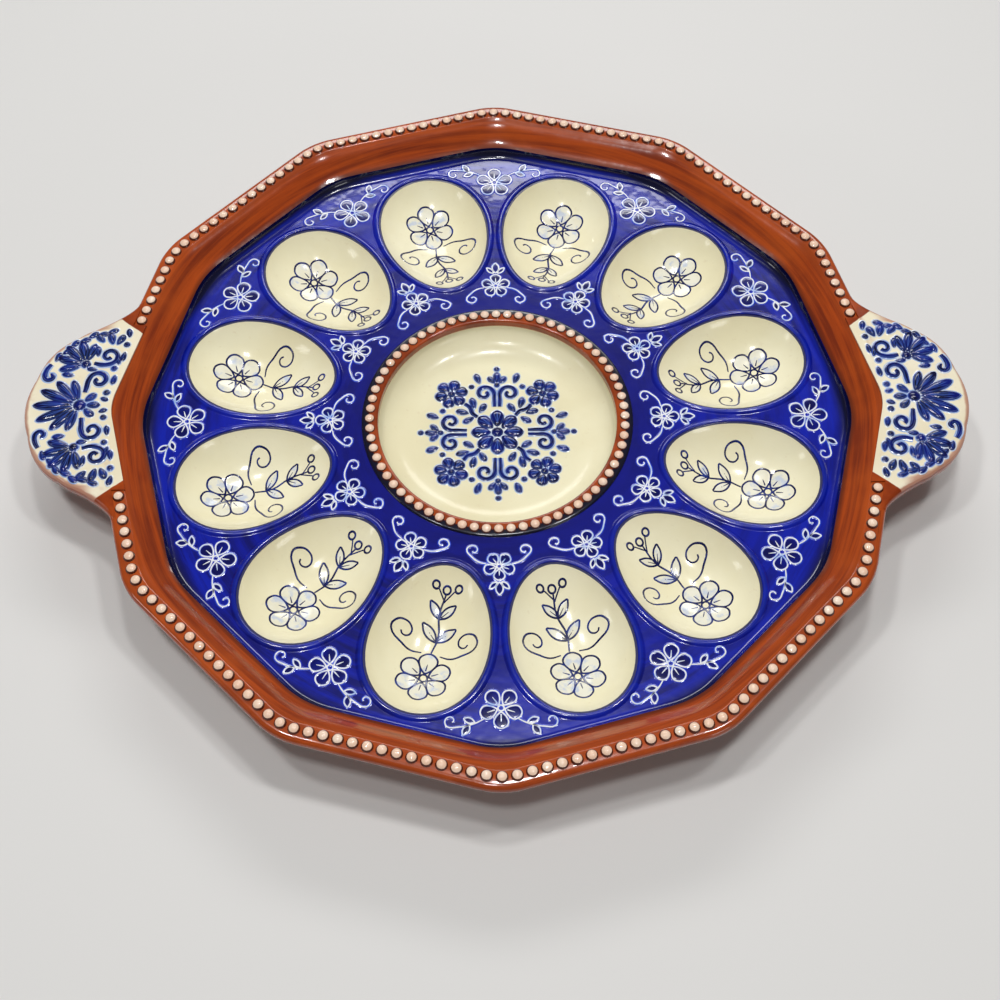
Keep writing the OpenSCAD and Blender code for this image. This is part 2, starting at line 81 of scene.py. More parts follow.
egg_share = 0.1245          # how much wider than an ellipse the outer end is
lip_w = 2.7 * MM
lip_h = 0.9 * MM
ring_out_r = 58 * MM        # outside of the ring round the centre dish
dish_points = 96            # points round the dish and its ring
overrun = 2 * MM            # how far a cutter stands out of the clay
crease = radians(38)        # edges sharper than this stay crisp

corner_core = (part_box("rim")[1][1] - corner_round) * cos(side_turn / 2)
root_a = corner_core + corner_round - rim_w
slab_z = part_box("tray_floor")[0][2]
cove_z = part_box("tray_floor")[1][2]
floor_z = cove_z - cove_h
well_ring_r = (well_w + well_gap) / 2 / sin(side_turn / 2)


def sided_face(reach, corner, height):
    """Starts a flat face with rounded corners, its sides this far from the middle"""
    bpy.ops.object.select_all(action="DESELECT")
    corner_reach = reach / cos(side_turn / 2)
    bpy.ops.mesh.primitive_circle_add(vertices=sides, radius=corner_reach, fill_type="NGON")
    bpy.ops.object.mode_set(mode="EDIT")
    cut = corner * tan(side_turn / 2)
    bpy.ops.mesh.bevel(affect="VERTICES", offset=cut, segments=corner_steps, profile=arc_profile)
    bpy.ops.mesh.select_all(action="SELECT")
    bpy.ops.transform.translate(value=(0, 0, height))
    return bpy.context.object


def draw_up(rise):
    """Extrudes what is selected straight up"""
    bpy.ops.mesh.extrude_region_move(TRANSFORM_OT_translate={"value": (0, 0, rise)})


def step_in(width, rise):
    """Insets the selected face and moves it along its own direction"""
    bpy.ops.mesh.inset(thickness=width, depth=rise, use_even_offset=True)


def round_in(width, rise, steps):
    """Insets the selected face along a quarter of an oval, steep at first"""
    for i in range(steps):
        here, there = (t * pi / 2 / steps for t in (i, i + 1))
        step_in(width * (cos(here) - cos(there)), rise * (sin(there) - sin(here)))


def start_loop(half_x, half_y, height, points=64, fill="NOTHING"):
    """Starts a mesh with one oval loop about the middle"""
    bpy.ops.object.select_all(action="DESELECT")
    bpy.ops.mesh.primitive_circle_add(vertices=points, radius=1, fill_type=fill)
    bpy.ops.object.mode_set(mode="EDIT")
    bpy.ops.mesh.select_mode(type="EDGE")
    bpy.ops.transform.resize(value=(half_x, half_y, 1), center_override=(0, 0, 0))
    bpy.ops.transform.translate(value=(0, 0, height))
    return bpy.context.object


def next_loop(scale_x, scale_y, rise):
    """Extrudes the selected loop, scales it about the middle and lifts it"""
    draw_up(rise)
    bpy.ops.transform.resize(value=(scale_x, scale_y, 1), center_override=(0, 0, 0))


def pick_open_edges():
    """Selects the edges that have a face on one side only"""
    bpy.ops.mesh.select_mode(type="EDGE")
    bpy.ops.mesh.select_all(action="DESELECT")
    mesh = bmesh.from_edit_mesh(bpy.context.object.data)
    for line in mesh.edges:
        line.select = line.is_boundary
    bmesh.update_edit_mesh(bpy.context.object.data)


def close_ring():
    """Joins the two open edges of a ring"""
    pick_open_edges()
    bpy.ops.mesh.bridge_edge_loops()


def make_egg(piece):
    """Turns ovals about the middle into eggs with the wide end outwards"""
    bpy.ops.object.mode_set(mode="OBJECT")
    for v in piece.data.vertices:
        v.co.y *= 1 + egg_share * v.co.x / (well_l / 2)


def copied(piece, place):
    """A copy with its own mesh, moved in the mesh"""
    twin = piece.copy()
    twin.data = piece.data.copy()
    twin.data.transform(place)
    if place.determinant() < 0:
        twin.data.flip_normals()
    bpy.context.collection.objects.link(twin)
    return twin


def chosen(piece):
    """Makes this the one selected and active piece"""
    bpy.ops.object.select_all(action="DESELECT")
    piece.select_set(True)
    bpy.context.view_layer.objects.active = piece


def joined(parts):
    """Several pieces as one"""
    chosen(parts[0])
    for part in parts:
        part.select_set(True)
    bpy.ops.object.join()
    return parts[0]


def repeated(piece, places):
    """One piece made of copies at all these places, without the one it was copied from"""
    whole = joined([copied(piece, place) for place in places])
    bpy.data.objects.remove(piece)
    return whole


def cut_by(piece, cutter):
    """Cuts one closed piece out of another"""
    chosen(piece)
    cut = piece.modifiers.new("cut", "BOOLEAN")
    cut.operation = "DIFFERENCE"
    cut.solver = "EXACT"
    cut.object = cutter
    bpy.ops.object.modifier_apply(modifier=cut.name)
    bpy.data.objects.remove(cutter)


def set_on_platter(piece, name, finish, slot, *nodes):
    """Turns the faces outwards, shades the piece, glazes it and stands it in for its CAD nodes"""
    if bpy.context.mode != "OBJECT":
        bpy.ops.object.mode_set(mode="OBJECT")
    chosen(piece)
    bpy.ops.object.mode_set(mode="EDIT")
    bpy.ops.mesh.select_all(action="SELECT")
    bpy.ops.mesh.remove_doubles(threshold=0.002 * MM)
    bpy.ops.mesh.normals_make_consistent(inside=False)
    bpy.ops.object.mode_set(mode="OBJECT")
    bpy.ops.object.shade_smooth_by_angle(angle=crease)
    piece.name = name
    piece.data.name = name
    piece.data.materials.clear()
    piece.data.materials.append(finish)
    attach(piece, "root")
    if nodes:
        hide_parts(*nodes)


def put(tree, kind, inputs, **settings):
    """Adds a shading node, with numbers and colours set and sockets linked"""
    made = tree.nodes.new("ShaderNode" + kind)
    for key, value in settings.items():
        setattr(made, key, value)
    for key, value in inputs.items():
        if isinstance(value, bpy.types.NodeSocket):
            tree.links.new(value, made.inputs[key])
        else:
            made.inputs[key].default_value = value
    return made


def calc(tree, operation, *values):
    """One sum on shading values"""
    return put(tree, "Math", dict(enumerate(values)), operation=operation).outputs[0]


def wandering(tree, value, marks, depth):
    """A value that wanders with clouds or streaks, by up to this much"""
    return calc(tree, "ADD", value, calc(tree, "MULTIPLY", marks, depth))


def fade(tree, value, start, end, low=0.0, high=1.0):
    """Goes smoothly from low to high while the value goes from start to end"""
    inputs = {"Value": value, "From Min": start, "From Max": end, "To Min": low, "To Max": high}
    return put(tree, "MapRange", inputs, interpolation_type="SMOOTHSTEP").outputs[0]


def tint(tree, share, first, second):
    """A colour between two others, each a socket or red, green and blue"""
    first, second = ((*colour, 1) if isinstance(colour, tuple) else colour for colour in (first, second))
    return put(tree, "Mix", {0: share, 6: first, 7: second}, data_type="RGBA").outputs[2]


def mottle(tree, vector, scale, detail=4.0, roughness=0.55):
    """Cloudy variation between 0 and 1"""
    inputs = {"Vector": vector, "Scale": scale, "Detail": detail, "Roughness": roughness}
    return put(tree, "TexNoise", inputs).outputs[0]


def glaze(name, roughness, ripple_scale, ripple_depth):
    """Starts a glassy finish: colour under a clear coat that ripples a little, as dipped glaze does"""
    finish = bpy.data.materials.new(name)
    finish.use_nodes = True
    tree = finish.node_tree
    shader = tree.nodes["Principled BSDF"]
    shader.inputs["Roughness"].default_value = roughness
    shader.inputs["IOR"].default_value = 1.5
    shader.inputs["Specular IOR Level"].default_value = 0.3
    shader.inputs["Coat Weight"].default_value = 0.7
    shader.inputs["Coat Roughness"].default_value = 0.05
    place = put(tree, "TexCoord", {}).outputs["Object"]
    ripple = mottle(tree, place, ripple_scale, 3.0)
    bump = put(tree, "Bump", {"Height": ripple, "Strength": 1.0, "Distance": ripple_depth})
    tree.links.new(bump.outputs[0], shader.inputs["Normal"])
    tree.links.new(bump.outputs[0], shader.inputs["Coat Normal"])
    return finish, tree, shader, place


def from_middle(tree, place):
    """Distance from the upright line through the platter's middle, and x, y and z"""
    x, y, z = put(tree, "SeparateXYZ", {0: place}).outputs
    flat = put(tree, "CombineXYZ", {0: x, 1: y}).outputs[0]
    out = put(tree, "VectorMath", {0: flat}, operation="LENGTH").outputs["Value"]
    return out, x, y, z


def around(tree, place, along, across):
    """Coordinates for marks that run round the platter: their frequency along the turn and across it"""
    out, x, y, z = from_middle(tree, place)
    turn_x = calc(tree, "MULTIPLY", calc(tree, "DIVIDE", x, out), along)
    turn_y = calc(tree, "MULTIPLY", calc(tree, "DIVIDE", y, out), along)
    level = calc(tree, "MULTIPLY", calc(tree, "ADD", out, z), across)
    return put(tree, "CombineXYZ", {0: turn_x, 1: turn_y, 2: level}).outputs[0], out, z


cobalt_thick = (0.0006, 0.002, 0.13)
cobalt_thin = (0.001, 0.006, 0.30)
cobalt_clouds = (0.002, 0.011, 0.40)
cobalt_by_ring = (0.0006, 0.0015, 0.155)
cobalt_outside = (0.002, 0.014, 0.42)
cobalt_on_lip = (0.006, 0.03, 0.48)
cobalt_pool = (0.0008, 0.0008, 0.006)
cobalt, tree, shader, place = glaze("cobalt_glaze", 0.22, 55, 0.25 * MM)
streaks, out, z = around(tree, place, 3.2, 230)
brushed = mottle(tree, streaks, 1.0, 5.0, 0.62)
clouds = mottle(tree, place, 24, 3.0)
base = tint(tree, fade(tree, brushed, 0.38, 0.64), cobalt_thick, cobalt_thin)
base = tint(tree, fade(tree, clouds, 0.42, 0.72, 0, 0.7), base, cobalt_clouds)
near_ring = fade(tree, out, 86 * MM, 62 * MM, 0, 0.7)
base = tint(tree, near_ring, base, cobalt_by_ring)
outer_lane = fade(tree, out, 120 * MM, 136 * MM)
outer_lane = calc(tree, "MULTIPLY", outer_lane, fade(tree, brushed, 0.42, 0.66, 0.05, 0.75))
base = tint(tree, outer_lane, base, cobalt_outside)
lip_top = fade(tree, z, floor_z + 0.35 * MM, floor_z + lip_h, 0, 0.35)
inside_cove = fade(tree, z, floor_z + 1.3 * MM, floor_z + 1.0 * MM)
base = tint(tree, calc(tree, "MULTIPLY", lip_top, inside_cove), base, cobalt_on_lip)
unsteady = wandering(tree, out, calc(tree, "SUBTRACT", brushed, 0.5), 7 * MM)
pool = fade(tree, unsteady, root_a - cove_w + 0.4 * MM, root_a + 2.6 * MM, 0, 0.95)
pool = calc(tree, "MAXIMUM", pool, fade(tree, z, floor_z + 0.5 * MM, floor_z + 2.6 * MM, 0, 0.98))
base = tint(tree, pool, base, cobalt_pool)
tree.links.new(base, shader.inputs["Base Color"])

floor = sided_face(root_a, root_round, slab_z)
draw_up(cove_z - slab_z)
round_in(cove_w, -cove_h, cove_steps)
step_in(floor_edge_w, 0)
bpy.ops.object.mode_set(mode="OBJECT")


def floor_cutter(half_x, half_y, points):
    """Starts an oval cutter that goes right through the floor"""
    cutter = start_loop(half_x, half_y, slab_z - overrun, points, fill="NGON")
    next_loop(1, 1, floor_z - slab_z + 2 * overrun)
    return cutter


well_places = []
for i in range(sides):
    turned = Matrix.Rotation((i + 0.5) * side_turn, 4, "Z")
    well_places.append(turned @ Matrix.Translation((well_ring_r, 0, 0)))
hole = floor_cutter(well_l / 2 + well_edge, well_w / 2 + well_edge, 64)
make_egg(hole)
dish_hole = floor_cutter(ring_out_r, ring_out_r, dish_points)
bpy.ops.object.mode_set(mode="OBJECT")
cut_by(floor, joined([repeated(hole, well_places), dish_hole]))

lip_shape = ((0, -0.5), (0, 0.55), (0.07, 0.82), (0.2, 0.97), (0.36, 1), (0.54, 0.9), (0.72, 0.62),
    (0.87, 0.28), (0.97, 0.06), (1.06, 0), (1.06, -0.5))          # shares of its width and height
lip = start_loop(well_l / 2 + well_edge, well_w / 2 + well_edge, floor_z + lip_shape[0][1] * lip_h)
for (here, low), (there, high) in zip(lip_shape, lip_shape[1:]):
    here, there = (well_edge + lip_w * share for share in (here, there))
    wider = (well_l / 2 + there) / (well_l / 2 + here), (well_w / 2 + there) / (well_w / 2 + here)
    next_loop(*wider, (high - low) * lip_h)
close_ring()
make_egg(lip)
lips = repeated(lip, well_places)
set_on_platter(floor, "tray_floor_glazed", cobalt, "cobalt_glaze", "tray_floor")
set_on_platter(lips, "well_lips", cobalt, "cobalt_glaze")


# The rim is the sloping wall of the tray with a flat ledge for the beads and a rolled edge, all one casting
# with the floor. Its red-brown glaze is brushed along each side in darker and lighter streaks. It breaks
# lighter over the crest, and down the outside, below the rolled edge, the brown is painted darker as shade.
ledge_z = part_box("rim")[1][2]
roll_r = 2.5 * MM           # rounding of the rolled edge above its widest line
roll_under_r = 4 * MM       # rounding below it
roll_steps = 7
band = 0.3 * MM             # upright band at the widest line
lip_z = ledge_z - roll_r
ledge_w = 5 * MM
crest_w = 1.0 * MM          # rounded crest between ledge and slope
crest_drop = 0.7 * MM
crest_shares = (0.35, 0.65)
slope_w = rim_w - roll_r - ledge_w - crest_w
slope_h = ledge_z - crest_drop - cove_z
slope_steps = 8
slope_ease = 0.055          # how far the slope rounds off towards crest and cove
under_flat_w = 3.8 * MM
under_slope_w = 7.8 * MM
under_slope_h = 5.7 * MM
under_root_w = rim_w - roll_under_r - under_flat_w - under_slope_w

brown_thick = (0.21, 0.026, 0.004)
brown_thin = (0.43, 0.063, 0.006)
brown_clouds = (0.50, 0.088, 0.009)
brown_at_cove = (0.06, 0.010, 0.003)
brown_on_crest = (0.48, 0.085, 0.012)
brown_shaded_outside = (0.16, 0.020, 0.002)
brown, tree, shader, place = glaze("brown_glaze", 0.2, 60, 0.22 * MM)
streaks, out, z = around(tree, place, 2.6, 320)
brushed = mottle(tree, streaks, 1.0, 5.0, 0.6)
clouds = mottle(tree, place, 30, 3.0)
base = tint(tree, fade(tree, brushed, 0.35, 0.67), brown_thick, brown_thin)
base = tint(tree, fade(tree, clouds, 0.42, 0.75, 0, 0.5), base, brown_clouds)
foot_of_slope = fade(tree, z, cove_z + 1.3 * MM, cove_z, 0, 0.7)
base = tint(tree, foot_of_slope, base, brown_at_cove)
crest = fade(tree, z, ledge_z - 2.2 * MM, ledge_z - 0.3 * MM, 0, 0.35)
base = tint(tree, crest, base, brown_on_crest)
# painted shade: the brown goes darker outside the bead row and below the widest line of the rolled edge
past_beads = fade(tree, out, 158 * MM, 161 * MM)
painted_shade_outside = calc(tree, "MULTIPLY", past_beads, fade(tree, z, lip_z + 1.5 * MM, lip_z - 1.5 * MM))
base = tint(tree, calc(tree, "MULTIPLY", painted_shade_outside, 0.55), base, brown_shaded_outside)
tree.links.new(base, shader.inputs["Base Color"])


def round_corners(reach, corner, wanted):
    """Gives the selected sided face, this far from the middle, another corner radius"""
    mesh = bmesh.from_edit_mesh(bpy.context.object.data)
    centre, new_centre = ((reach - radius) / cos(side_turn / 2) for radius in (corner, wanted))
    for face in mesh.faces:
        for v in face.verts if face.select else ():
            bearing = round(atan2(v.co.y, v.co.x) / side_turn) * side_turn
            spot = Matrix.Rotation(-bearing, 2) @ v.co.xy
            turn = atan2(spot.y, spot.x - centre)
            spot = Vector((new_centre + wanted * cos(turn), wanted * sin(turn)))
            v.co.xy = Matrix.Rotation(bearing, 2) @ spot
    bmesh.update_edit_mesh(bpy.context.object.data)


def pick_flat_faces(piece, *directions):
    """Selects the large flat faces of a sided piece that look up, 1, or down, -1"""
    bpy.ops.mesh.select_mode(type="FACE")
    bpy.ops.mesh.select_all(action="DESELECT")
    mesh = bmesh.from_edit_mesh(piece.data)
    for face in mesh.faces:
        if len(face.verts) > 4 * sides:
            face.select = any(face.normal.z * direction > 0.9 for direction in directions)
    bmesh.update_edit_mesh(piece.data)


rim = sided_face(root_a + rim_w, corner_round, lip_z - band / 2)
draw_up(band)
round_in(roll_r, roll_r - band / 2, roll_steps)
step_in(ledge_w, 0)
for share in crest_shares:
    step_in(crest_w * share, -crest_drop * share ** 2 / sum(part ** 2 for part in crest_shares))
reach, corner = root_a + slope_w, corner_round - rim_w + slope_w
rounder = (root_round - corner) / slope_steps
for i in range(slope_steps):
    here, there = (t / slope_steps for t in (i, i + 1))
    here, there = (share - slope_ease * sin(2 * pi * share) for share in (here, there))
    step_in(slope_w / slope_steps, -slope_h * (there - here))
    reach -= slope_w / slope_steps
    round_corners(reach, corner - slope_w / slope_steps, corner + rounder)
    corner += rounder
pick_flat_faces(rim, -1)
round_in(roll_under_r, roll_under_r - band / 2, roll_steps)
step_in(under_flat_w, 0)
step_in(under_slope_w, under_slope_h)
step_in(under_root_w, lip_z - roll_under_r - under_slope_h - slab_z)
pick_flat_faces(rim, 1, -1)
bpy.ops.mesh.bridge_edge_loops()
bpy.ops.object.mode_set(mode="OBJECT")
set_on_platter(rim, "rim_glazed", brown, "brown_glaze", "rim")


# Each egg well is a bowl shaped to half an egg, pressed with the floor and left cream inside. A thin line of
# dark blue, laid where the cream meets the cobalt, runs round its edge.
well_depth = 13 * MM
well_wall = 5 * MM
well_bottom_t = 4.3 * MM
bowl_rings = 14
bowl_axis = ((well_w / 2) ** 2 - well_depth ** 2) / (2 * well_depth)
under_w = well_w / 2 + well_wall
under_depth = well_depth + well_bottom_t
under_axis = (under_w ** 2 - under_depth ** 2) / (2 * under_depth)
floor_t = floor_z - slab_z
under_share = sqrt(1 - ((floor_t + under_axis) ** 2 - under_axis ** 2) / under_w ** 2)


def bowl_drop(u, v):
    """Depth of a bowl below the floor, at u along it from its middle and v across it"""
    half = well_w / 2 * (1 + 2 * egg_share * u / well_l) * sqrt(max(0, 1 - (2 * u / well_l) ** 2))
    return sqrt(max(bowl_axis ** 2, half ** 2 + bowl_axis ** 2 - v ** 2)) - bowl_axis


def close_pole():
    """Draws the selected loop together to one point"""
    draw_up(0)
    bpy.ops.mesh.merge(type="CENTER")


def drift(tree, place, scale, detail=4.0):
    """Slow clouds from 0 to 1, for a colour that drifts between two others"""
    return fade(tree, mottle(tree, place, scale, detail), 0.35, 0.7)


def height_of(tree, place):
    """Height over the table"""
    return put(tree, "SeparateXYZ", {0: place}).outputs[2]


def less_glassy(shader):
    """Lets a pale glaze shine less than the colours do"""
    shader.inputs["Specular IOR Level"].default_value = 0.22
    shader.inputs["Coat Weight"].default_value = 0.4


def creamy(name, thick, thin):
    """Starts a cream glaze, clouded a little where it lies thicker, with a few tan specks"""
    finish, tree, shader, place = glaze(name, 0.2, 45, 0.2 * MM)
    less_glassy(shader)
    base = tint(tree, drift(tree, place, 26), thick, thin)
    specks = fade(tree, mottle(tree, place, 420, 2.0), 0.62, 0.8, 0, 0.2)
    return finish, tree, shader, place, tint(tree, specks, base, (0.66, 0.52, 0.30))


cream_thick = (0.89, 0.825, 0.56)
cream_thin = (0.94, 0.89, 0.65)
well_line = (0.002, 0.006, 0.10)
well_cream, tree, shader, place, base = creamy("well_cream_glaze", cream_thick, cream_thin)
height = wandering(tree, height_of(tree, place), mottle(tree, place, 130, 2.0), 0.3 * MM)
outline = fade(tree, height, floor_z - 0.05 * MM, floor_z + 0.08 * MM, 0, 0.95)
base = tint(tree, outline, base, well_line)
tree.links.new(base, shader.inputs["Base Color"])

bowl = start_loop(well_l / 2 + well_edge, well_w / 2 + well_edge, floor_z)
next_loop(well_l / (well_l + 2 * well_edge), well_w / (well_w + 2 * well_edge), 0)
for i in range(bowl_rings):
    here, there = (cos(t * pi / 2 / (bowl_rings + 1)) for t in (i, i + 1))
    next_loop(there / here, there / here, 0)
close_pole()
make_egg(bowl)
for v in bowl.data.vertices:
    if hypot(v.co.x / well_l, v.co.y / (1 + 2 * egg_share * v.co.x / well_l) / well_w) < 0.5001:
        v.co.z -= bowl_drop(v.co.x, v.co.y)

bpy.ops.object.mode_set(mode="EDIT")
pick_open_edges()
next_loop(1, 1, -floor_t)
shoulder_l = (well_l / 2 + well_wall) * under_share / (well_l / 2 + well_edge)
shoulder_w = under_w * under_share / (well_w / 2 + well_edge)
next_loop(shoulder_l, shoulder_w, 0)
for i in range(bowl_rings):
    here, there = (under_share * cos(t * pi / 2 / (bowl_rings + 1)) for t in (i, i + 1))
    drop = [sqrt(under_axis ** 2 + under_w ** 2 * (1 - share ** 2)) for share in (here, there)]
    next_loop(there / here, there / here, drop[0] - drop[1])
close_pole()
bpy.ops.object.mode_set(mode="OBJECT")
for i, place in enumerate(well_places, 1):
    well = copied(bowl, place)
    set_on_platter(well, f"egg_well_{i:02d}_glazed", well_cream, "cream_glaze", f"egg_well_{i:02d}")
bpy.data.objects.remove(bowl)


# The foot ring keeps the shape that the CAD gives it. The brown glaze runs down its wall to a wavy line, and
# its foot is wiped clean so that the platter doesn't stick in the kiln: there the stoneware is bare, sandy
# and buff.
clay_dark = (0.42, 0.30, 0.19)
clay_light = (0.58, 0.45, 0.31)
clay_grit = (0.20, 0.12, 0.07)
run_thick = (0.26, 0.036, 0.004)
run_thin = (0.42, 0.066, 0.007)
run_edge = (0.10, 0.014, 0.003)
run_end = 8.1 * MM
run_full = 8.4 * MM
clay = bpy.data.materials.new("bare_stoneware")
clay.use_nodes = True
tree = clay.node_tree
shader = tree.nodes["Principled BSDF"]
place = put(tree, "TexCoord", {}).outputs["Object"]
grain = mottle(tree, place, 1300, 3.0, 0.7)
base = tint(tree, drift(tree, place, 45), clay_dark, clay_light)
base = tint(tree, fade(tree, grain, 0.62, 0.74, 0, 0.6), base, clay_grit)
wavy = wandering(tree, height_of(tree, place), mottle(tree, place, 55, 3.0), 7 * MM)
dipped = fade(tree, wavy, run_end, run_full)
thick_edge = calc(tree, "MULTIPLY", dipped, fade(tree, wavy, 9.6 * MM, 8.6 * MM))
run = tint(tree, drift(tree, place, 60), run_thick, run_thin)
run = tint(tree, thick_edge, run, run_edge)
base = tint(tree, dipped, base, run)
tree.links.new(base, shader.inputs["Base Color"])
tree.links.new(fade(tree, wavy, run_end, run_full, 0.88, 0.2), shader.inputs["Roughness"])
height = calc(tree, "MULTIPLY", grain, fade(tree, wavy, run_full, run_end))
height = wandering(tree, height, dipped, 1.5)
grit = put(tree, "Bump", {"Height": height, "Strength": 0.8, "Distance": 0.25 * MM})
tree.links.new(grit.outputs[0], shader.inputs["Normal"])
foot = frame["nodes"]["foot_ring"]
foot.data.materials.clear()
foot.data.materials.append(clay)


# The dish in the middle is a round bowl with a flat bottom, for more halves of egg or a dip. It is part of
# the same casting, cream inside, and the cream turns tan where the brown glaze of its ring runs into it.
dish_low, dish_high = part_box("centre_dish")
dish_seat_z = dish_high[2]
dish_r = 51 * MM
dish_flat_r = 36 * MM
dish_z = 12.3 * MM
dish_wall = 4.5 * MM
dish_steps = 12


def follow(reach, height, line):
    """Extrudes the selected loop, of this radius and height, along a line of radii and heights"""
    for out, level in line:
        next_loop(out / reach, out / reach, level - height)
        reach, height = out, level


def bowl_line(full_r, top, bottom, first):
    """Radii and heights of the dish's wall, from its edge in to its flat bottom"""
    turns = [i * pi / 2 / dish_steps for i in range(first, dish_steps + 1)]
    width = full_r - dish_flat_r
    return [(dish_flat_r + width * cos(turn), top - (top - bottom) * sin(turn)) for turn in turns]


dish_cream_thick = (0.83, 0.765, 0.51)
dish_cream_thin = (0.89, 0.84, 0.59)
shore_tan = (0.62, 0.25, 0.09)
dish_cream, tree, shader, place, base = creamy("dish_cream_glaze", dish_cream_thick, dish_cream_thin)
shore = fade(tree, height_of(tree, place), dish_seat_z - 0.55 * MM, dish_seat_z - 0.1 * MM, 0, 0.8)
base = tint(tree, shore, base, shore_tan)
tree.links.new(base, shader.inputs["Base Color"])
shader.inputs["Coat Weight"].default_value = 0.12

dish = start_loop(dish_r, dish_r, dish_seat_z, dish_points)
follow(dish_r, dish_seat_z, bowl_line(dish_r, dish_seat_z, dish_z, 1))
for share in (0.96, 0.7, 0.5, 0.5):
    next_loop(share, share, 0)
close_pole()
pick_open_edges()
under_edge = [(ring_out_r, dish_seat_z), (ring_out_r, slab_z)]
follow(dish_r, dish_seat_z, under_edge + bowl_line(dish_r + dish_wall, slab_z, dish_low[2], 0))
for share in (0.7, 0.5):
    next_loop(share, share, 0)
close_pole()
set_on_platter(dish, "centre_dish_glazed", dish_cream, "cream_glaze", "centre_dish")


# A raised ring with a rounded crown runs round the dish, part of the casting. It has the brown glaze of the
# rim on its inner half and is dark blue outside, and it carries a row of small beads.
ring_thick = (0.22, 0.030, 0.004)
ring_thin = (0.40, 0.062, 0.008)
ring_dark = (0.003, 0.003, 0.016)
ring_middle_r = (dish_r + ring_out_r) / 2
ring_glaze, tree, shader, place = glaze("ring_glaze", 0.2, 90, 0.15 * MM)
out = from_middle(tree, place)[0]
base = tint(tree, drift(tree, place, 90), ring_thick, ring_thin)
out = wandering(tree, out, mottle(tree, place, 140), 1.0 * MM)
outer_half = fade(tree, out, ring_middle_r + 0.4 * MM, ring_middle_r + 1.2 * MM)
base = tint(tree, outer_half, base, ring_dark)
tree.links.new(base, shader.inputs["Base Color"])

ring_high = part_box("centre_ring")[1][2]
ring_rise = ring_high - floor_z
ring_round = 1.1 * MM
ring_steps = 5
turns = [t * pi / 2 / ring_steps for t in range(ring_steps + 1)]
crown = [(dish_r + ring_round - ring_round * cos(turn), floor_z + ring_rise * sin(turn)) for turn in turns]
crown += [(ring_out_r + dish_r - out, level) for out, level in reversed(crown)]
ring = start_loop(dish_r, dish_r, dish_seat_z, dish_points)
follow(dish_r, dish_seat_z, crown + [(ring_out_r, dish_seat_z)])
close_ring()
set_on_platter(ring, "centre_ring_glazed", ring_glaze, "brown_glaze", "centre_ring")


# The beads are half-round studs pressed with the rim and the ring. The brown glaze covers them, painted
# darker round the dots as shade between the beads, and each has a dot of thick cream slip set on its top by
# hand, so no two dots have the same edge.
bead_d = 4.9 * MM
half_row = 75               # beads from one handle to the other
first_bead_y = 44.15 * MM
ring_bead_d = 4.4 * MM
ring_beads = 68
bead_top_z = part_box("rim_beads_back")[1][2]
ring_bead_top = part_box("centre_beads")[1][2]
bead_a = root_a + rim_w - roll_r - ledge_w / 2
bead_r = bead_a - corner_core
core_side = 2 * corner_core * tan(side_turn / 2)
side_run = core_side + bead_r * side_turn
row_start = (first_bead_y - bead_a * sin(side_turn / 2)) / cos(side_turn / 2)
row_run = (sides / 2 - 1) * side_run - 2 * row_start


def bead_shape(width, rise, top, points=14):
    """A low dome with its top at this height, made of few faces because it is repeated so often"""
    dome = ((width / 2) ** 2 + rise ** 2) / (2 * rise)
    base = start_loop(width / 2, width / 2, top - rise, points, fill="NGON")
    rings = [width / 2 * share for share in (0.84, 0.6, 0.32)]
    follow(width / 2, top - rise, [(out, top - dome + sqrt(dome ** 2 - out ** 2)) for out in rings])
    bpy.ops.mesh.merge(type="CENTER")
    bpy.ops.object.mode_set(mode="OBJECT")
    for v in base.data.vertices:
        if hypot(v.co.x, v.co.y) < 0.01 * MM:
            v.co.z = top
    return base


def dotted(name, top, dot_drop):
    """The brown glaze, darker as painted shade between the beads, with a dot of cream slip down to this far
    below the bead's top
    """
    finish, tree, shader, place = glaze(name, 0.16, 300, 0.1 * MM)
    level = wandering(tree, height_of(tree, place), mottle(tree, place, 190, 2.0), 0.45 * MM)
    slip = tint(tree, drift(tree, place, 60), (0.90, 0.60, 0.43), (0.96, 0.76, 0.60))
    dot = fade(tree, level, top - dot_drop, top - dot_drop + 0.16 * MM)
    # the brown round the dot is brown glaze, painted darker as shade between the beads
    base = tint(tree, dot, (0.09, 0.014, 0.004), slip)
    tree.links.new(base, shader.inputs["Base Color"])
    return finish


def row_place(run):
    """Place of a bead at this distance along the row from the middle of the first side"""
    side = int(run // side_run)
    rest = run - side * side_run
    turn = (side + 0.5) * side_turn
    if rest < core_side / 2:
        spot = Vector((bead_a, rest, 0))
    elif rest < core_side / 2 + bead_r * side_turn:
        bend = (rest - core_side / 2) / bead_r
        spot = Vector((corner_core + bead_r * cos(bend), core_side / 2 + bead_r * sin(bend), 0))
    else:
        spot = Vector((bead_a, rest - side_run, 0))
        turn += side_turn
    return Matrix.Rotation(turn, 4, "Z") @ Matrix.Translation(spot)


half_turn = Matrix.Rotation(pi, 4, "Z")
no_turn = Matrix.Identity(4)
back_row = [row_place(row_start + row_run * i / (half_row - 1)) for i in range(half_row)]
rim_dots = dotted("rim_bead_glaze", bead_top_z, 0.7 * MM)
for name, half in (("rim_beads_back", no_turn), ("rim_beads_front", half_turn)):
    bead = bead_shape(bead_d, bead_top_z - ledge_z, bead_top_z)
    row = repeated(bead, [half @ place for place in back_row])
    set_on_platter(row, name + "_glazed", rim_dots, "bead_glaze", name)

bead = bead_shape(ring_bead_d, ring_bead_top - ring_high, ring_bead_top, 12)
first_place = Matrix.Translation((ring_middle_r, 0, 0))
turns = [Matrix.Rotation(2 * pi * i / ring_beads, 4, "Z") for i in range(ring_beads)]
row = repeated(bead, [turn @ first_place for turn in turns])
ring_dots = dotted("ring_bead_glaze", ring_bead_top, 0.8 * MM)
set_on_platter(row, "centre_beads_glazed", ring_dots, "bead_glaze", "centre_beads")


